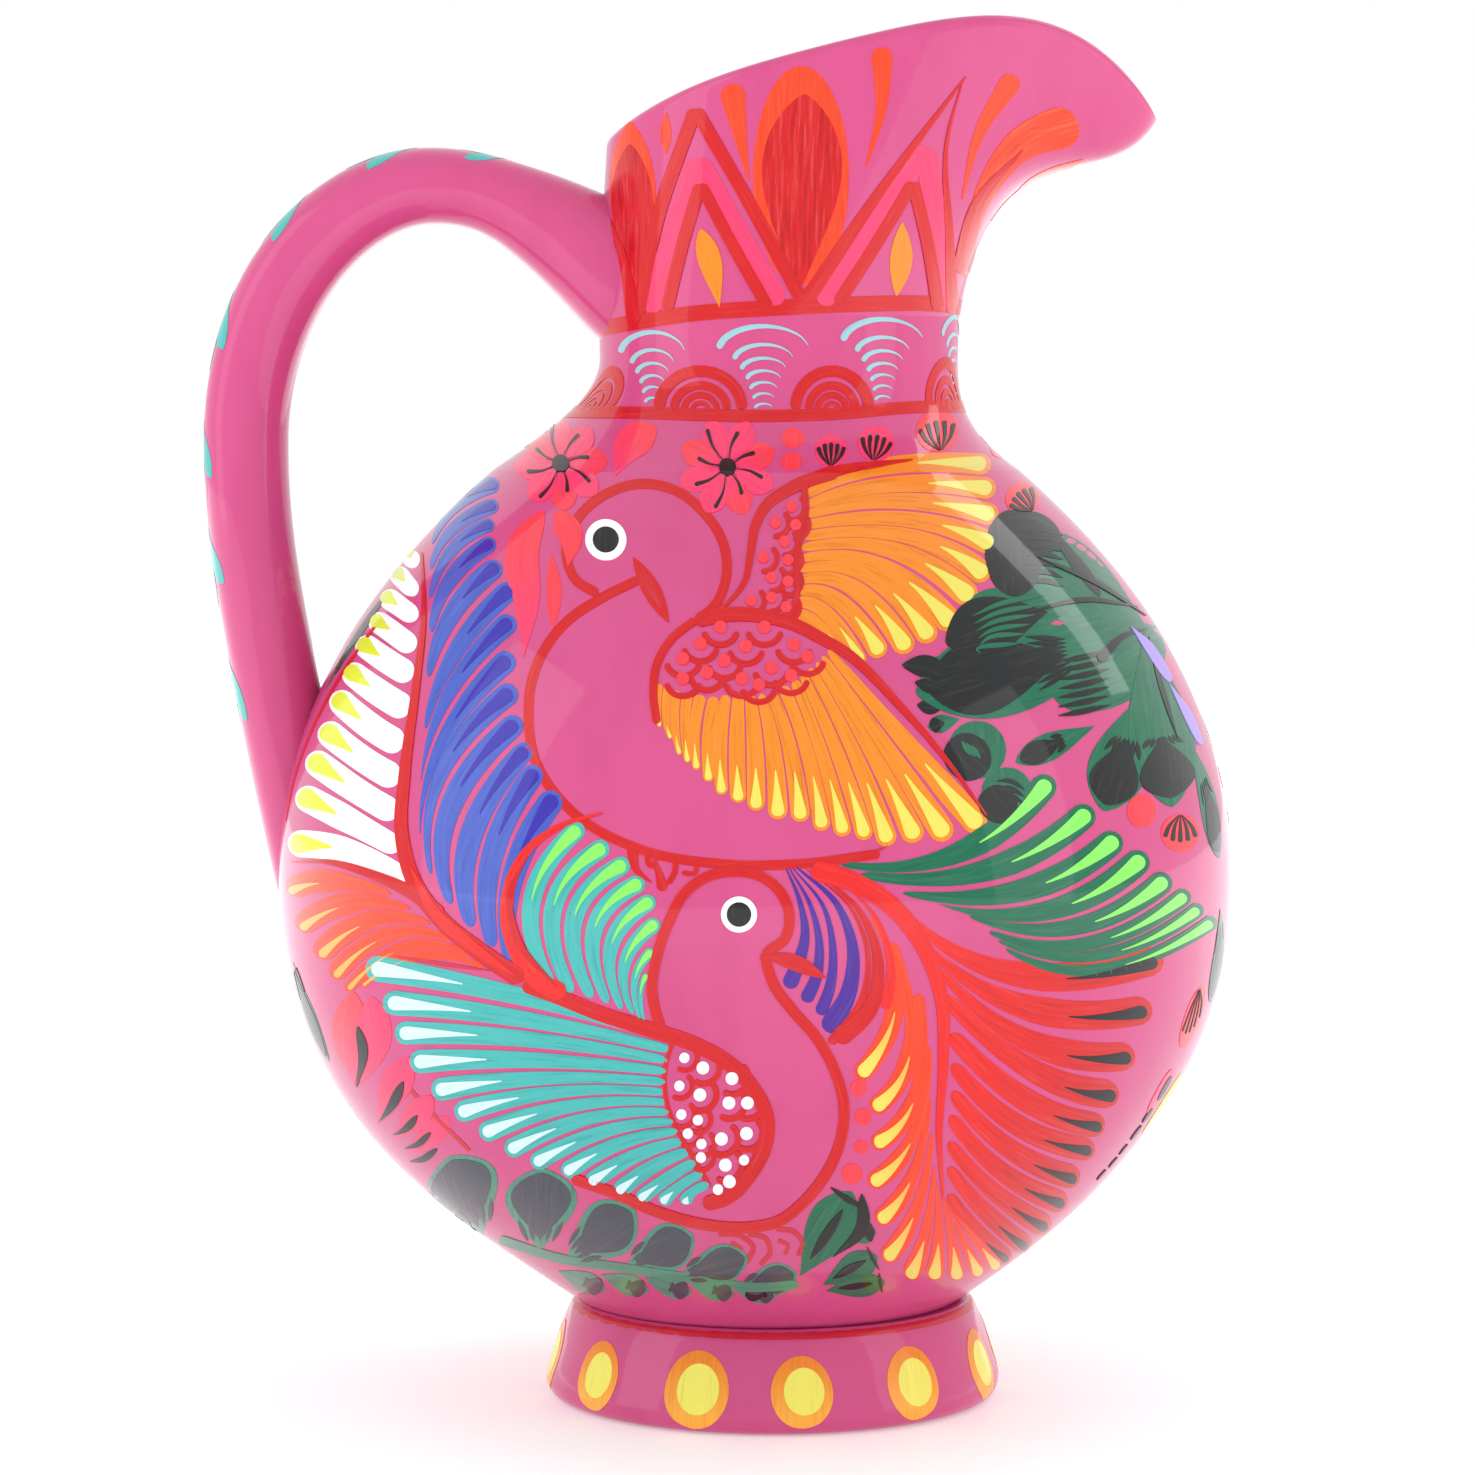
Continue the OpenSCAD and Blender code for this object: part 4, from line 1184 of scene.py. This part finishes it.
def lowerLeft():
    # the pink petals with black seeds at the left, the garland of grey and green leaves, lighter than the
    # leaves above with a painted reflection of the floor, and the leaves at its end
    seeded = (
        (3.3, [(-82.6, 62.6), (-79.6, 71), (-80.4, 80.6)], 1, [(-83.2, 62.4), (-81.9, 69.6), (-83, 74.6)]),
        (3.2, [(-79, 54.8), (-76, 61.6), (-72.8, 68.4)], 1, [(-78.9, 55.2), (-76, 59), (-73.9, 63.6)]),
        (2.6, [(-75.8, 51.8), (-71.4, 56.6), (-68.2, 60.6)], 0.8,
         [(-76, 52.8), (-73.2, 54.2), (-71.1, 56.8)]),
        (2.5, [(-72.8, 49), (-68.6, 52.8), (-64.8, 56.2)], 0.7, [(-73.7, 50.1), (-71, 51), (-68.4, 53.4)]),
    )
    return [
        leafOval(-273, 90, -267, 71, 6.4, 0.9, 3, space="belly"),
        mark("petal", 3.3, "hotPink", (-83.6, 62.6), (-85, 73), (-83.8, 81.4), tip="coral"),
        [[mark("petal", half, "hotPink", *petal), mark("petal", seed, "leafBlack", *inner, layer=2)]
         for half, petal, seed, inner in seeded],
        mark("petal", 0.7, "leafBlack", (-72.7, 47.5), (-70, 48), (-67.2, 50), layer=2),
        line(0.4, "clay", (-76.2, 66), (-69, 58), (-60.6, 49.6)),
        # the garland's leaves take the lighter green and grey: leaf colour with a painted reflection of the
        # floor
        [leafOval(*ends, half, 0.86, threads, rim="sage", heart="slate") for ends, half, threads in (
            ((-58.2, 32.6, -64.6, 48.6), 7.4, 5), ((-46.6, 29.6, -46.2, 46.2), 7.2, 5),
            ((-41.4, 28, -27.6, 37.8), 5.9, 5), ((-29.4, 26.6, -15.8, 32.6), 4.8, 4),
            ((-18.6, 24.8, -5, 28.4), 3.9, 4), ((-6.8, 22.2, 4.8, 25), 3.2, 3))],
        mark("line", 0.9, "sage", (-54.8, 32), (-42.8, 28.2), (-29.5, 26.2), (-16.3, 24.2), (-3, 22.4),
             (5, 23), samples=50, layer=1),
        [leafOval(x, 25.6 - k * 0.7, x + 9.4, 21.8 - k * 0.35, 2.1, 0.45, 2, rim="sage", heart="slate")
         for k, x in enumerate((-43, -34.4, -25.8, -17.2, -8.8))],
        leafOval(5.4, 24.6, 15.8, 41.4, 4.9, 0.12, 0),
        mark("leaf", 1, "leafBlack", (7.4, 28), (10.8, 33), (14, 38), layer=2),
        mark("petal", 1.3, "leafBlack", (12, 28.4), (17.8, 34.4), (17.8, 41), layer=2),
        leafOval(10, 22.8, 20.8, 28.6, 3.1, 0.12, 0),
        mark("leaf", 0.8, "leafBlack", (12, 24.2), (15.6, 26.2), (18.6, 27.8), layer=2),
        leafOval(10.6, 21.6, 22.4, 23.4, 2.3, 0.12, 0),
        mark("leaf", 0.6, "leafBlack", (13, 22.2), (16.6, 22.6), (20, 23.2), layer=2),
        leafOval(2, 21.6, -6, 20.8, 1.7, 0.6, 2), leafOval(14, 33, 20.6, 33.4, 2.2, 0.4, 1),
    ]


def neckBands():
    # two red lines round the neck, nests of pale arcs hanging between them, and red arches on the lower one
    nests = [
        (0.95, -24, 208.6, 6.6, 4.8, "board"), (1.0, -1.8, 209.4, 9.2, 5.2, "board"),
        (1.05, 22, 211, 8.2, 5, "board"), (1.0, -9.4, 211.6, 7.4, 4.4, "neck"),
    ]
    parts = [
        line(1.5, "red", (-113, 213.2), (-88.5, 214.7), (-71.7, 216.4), (-56.7, 217.3), (-42, 218),
             (-28, 218.4), (-14, 218.2), (1, 217.9), layer=1, space="neck"),
        line(1.15, "red", (-113, 197.4), (-76, 197.1), (-57, 196.6), (-43, 197.1), (-30.6, 198.1),
             (-14, 198.4), (1, 198.3), layer=1, space="neck"),
    ]
    steps = ((1, 0.7), (0.66, 0.55), (0.5, 0.5), (0.38, 0.45), (0.3, 0.4), (0.24, 0.35), (0.2, 0.3))
    for scale, x, z, wide, high, space in nests:
        for k, (shrink, half) in enumerate(steps):
            parts.append(arch("taper", scale * half, "mist", x, z - 1.9 * k, wide * shrink, high * shrink,
                              172, 14, space=space))
    for x, wide, high, space in ((-97, 8, 7.6, "neck"), (-14.5, 8.4, 8, "board"), (11.8, 7.4, 8, "board"),
                                 (-14.6, 8, 9.4, "neck")):
        for shrink, half in ((1, 1.15), (0.64, 0.85), (0.4, 0.65), (0.2, 0.45)):
            parts.append(arch("line", half, "red", x, 197.6, wide * shrink, high * shrink, layer=1,
                              space=space))
    return parts


def spoutPaint():
    # flames up the spout, and a zigzag of two points in red, pink and red lines with a seed in each
    return [
        mark("oval", 9.6, "orange", (5.6, 266.6), (5.6, 222.6), streak=0.6),
        mark("petal", 8, "red", (5.2, 221), (5.6, 240), (6.4, 261), layer=1, streak=0.9),
        mark("petal", 4.6, "orange", (-27.4, 218), (-28, 240), (-28.6, 255.5), streak=0.6),
        mark("petal", 4.2, "red", (-27.2, 217.4), (-28, 238), (-28.6, 251), layer=1, streak=0.9),
        mark("leaf", 1.1, "orange", (-21.4, 249), (-21.4, 257.4)),
        mark("drop", 2.9, "orange", (-4.8, 243.6), (-6.8, 254), (-8.4, 263)),
        mark("drop", 2.3, "orange", (18.6, 246.4), (21.6, 258), (21.8, 270.4)),
        mark("drop", 2.3, "orange", (37.8, 240), (41.2, 253), (48.4, 264.8)),
        mark("drop", 4.8, "orange", (38.4, 224.4), (42.2, 241), (49.6, 251), (61, 255.4), streak=0.9),
        mark("taper", 2, "red", (37.6, 225), (41.4, 240), (50, 250), layer=1, streak=0.9),
        mark("leaf", 1.4, "orange", (44.6, 235.6), (52, 242.8), (62, 248)),
        lines(2.1, "hotPink", [(-24.6, 217.4), (-19.8, 233), (-15, 248)],
              [(-15, 248), (-7, 233.4), (1.4, 219)], [(9.6, 219), (20, 235), (30.4, 250.4)],
              [(30.4, 250.4), (32.8, 234), (34.4, 218)], layer=1),
        lines(1.35, "red", [(-27, 216.6), (-23.2, 235.4), (-15.5, 258)],
              [(-15.5, 258), (-4.6, 239), (5.6, 220)], layer=2),
        mark("taper", 1.5, "red", (6.4, 219.4), (21, 241), (38.6, 264.6), samples=60, layer=2),
        mark("drop", 1.3, "red", (38, 264), (34.8, 252), (35.2, 232.4), (35.8, 217), samples=60, layer=2),
        lines(1.25, "red", [(-21.2, 217.8), (-18, 231), (-14.5, 243)],
              [(-14.5, 243), (-7.6, 230), (-0.8, 218)], [(12.8, 219), (20.8, 231.4), (28, 243.4)],
              [(28, 243.4), (31, 230.4), (33, 217.6)], layer=2),
        mark("petal", 2.3, "amber", (-10.6, 218.2), (-12.4, 227), (-14.4, 234), layer=1),
        mark("leaf", 2.2, "amber", (24.6, 220.6), (25.6, 228), (25.8, 235.4), layer=1),
        mark("taper", 1.4, "red", (-27.6, 215), (-30, 228.5), (-34.5, 240), layer=3),
    ]


def footDiscs():
    # twelve round spots round the foot, each yellow inside amber, and a red line in the joint above
    around = math.tau * pot["footRadius"]
    parts = [line(0.7, "clay", *[(around * k / 24, 19) for k in range(25)], space="foot")]
    for k in range(12):
        x = around * (30 * k - 112 + (2, -1, 0, 1.5, -1.5, 0.5)[k % 6]) / 360
        size = (7.4, 6.8, 7.0, 6.9, 7.1, 6.7)[k % 6]
        parts.append(dot(size * 0.92, "amberDisc", (x, 8.6), tall=1.08, space="foot", tip="amber"))
        parts.append(dot(size * 0.6, "limeDisc", (x + 0.4, 8.8), tall=1.08, space="foot", layer=1))
    return parts


def handleDabs():
    # sprigs of three dabs down the handle's outer side
    parts = []
    for k, x in enumerate((42, 62, 80, 99, 116, 133, 150)):
        turn = 1 if k % 2 else -1
        for half, *path in ((2, (x, 0), (x + 5, 3.6 * turn), (x + 8.5, 7.5 * turn)),
                            (2, (x + 1, 0), (x + 5.5, -3.6 * turn), (x + 10, -7 * turn)),
                            (1.8, (x + 2, 0), (x + 12, 0.6 * turn))):
            parts.append(mark("petal", half, "teal", *path, space="strap"))
    return parts


def leafSprig(x, z, turn):
    # one leaf leaning to a side, with a black heart, and a coral spot on either side of it
    return [mark("petal", 4.4, "darkGreen", (x - 2 * turn, z - 7), (x + 2.5 * turn, z + 7), streak=0.5,
                 space="belly"),
            mark("petal", 2.8, "leafBlack", (x - turn, z - 3.6), (x + 2.1 * turn, z + 6), layer=1,
                 space="belly"),
            dot(2.2, "coral", (x - 6 * turn, z + 4), (x + 7.5 * turn, z - 5), space="belly"),
            dot(1.1, "honey", (x - 6 * turn, z + 4), layer=1, space="belly")]


def sideSprigs():
    # sprigs up the strips between the front and the back: five under the beak and four under the handle
    return ([leafSprig(0, 62 + 17 * k, 1 if k % 2 else -1) for k in range(5)]
            + [leafSprig(-math.pi * pot["wrapRadius"], 34 + 15 * k, 1 if k % 2 else -1) for k in range(4)])


makeStage()
reach = 3000
floor = makeMesh("floor", [(-reach, -reach, 0), (reach, -reach, 0), (reach, reach, 0), (-reach, reach, 0)],
                 [(0, 1, 2, 3)], floorPaper(), smooth=False)
around = {"foot": 360, "bowls": 400, "spout": 320}  # points in each ring
glaze, bare, colours = pinkGlaze(), terracotta(), brushPaint()
makeFoot(glaze, bare, around["foot"])
makeBowls(glaze, around["bowls"])
makeSpout(glaze, around["spout"])
makeHandle(glaze)
for name, motif in (("paintUpperBird", upperBird), ("paintUpperWings", upperWings),
                    ("paintUpperTails", upperTails), ("paintLowerBird", lowerBird),
                    ("paintLowerWings", lowerWings), ("paintSidePlumes", sidePlumes),
                    ("paintFlowers", flowers), ("paintLeaves", leafCluster), ("paintLowerLeaves", lowerLeft),
                    ("paintNeckBands", neckBands), ("paintSpout", spoutPaint)):
    paintPiece(name, motif(), colours)
    print(name, "done")
for name, motif in (("paintFoot", footDiscs), ("paintHandle", handleDabs), ("paintSideLeaves", sideSprigs)):
    paintPiece(name, motif(), colours, sides=(1,))
    print(name, "done")
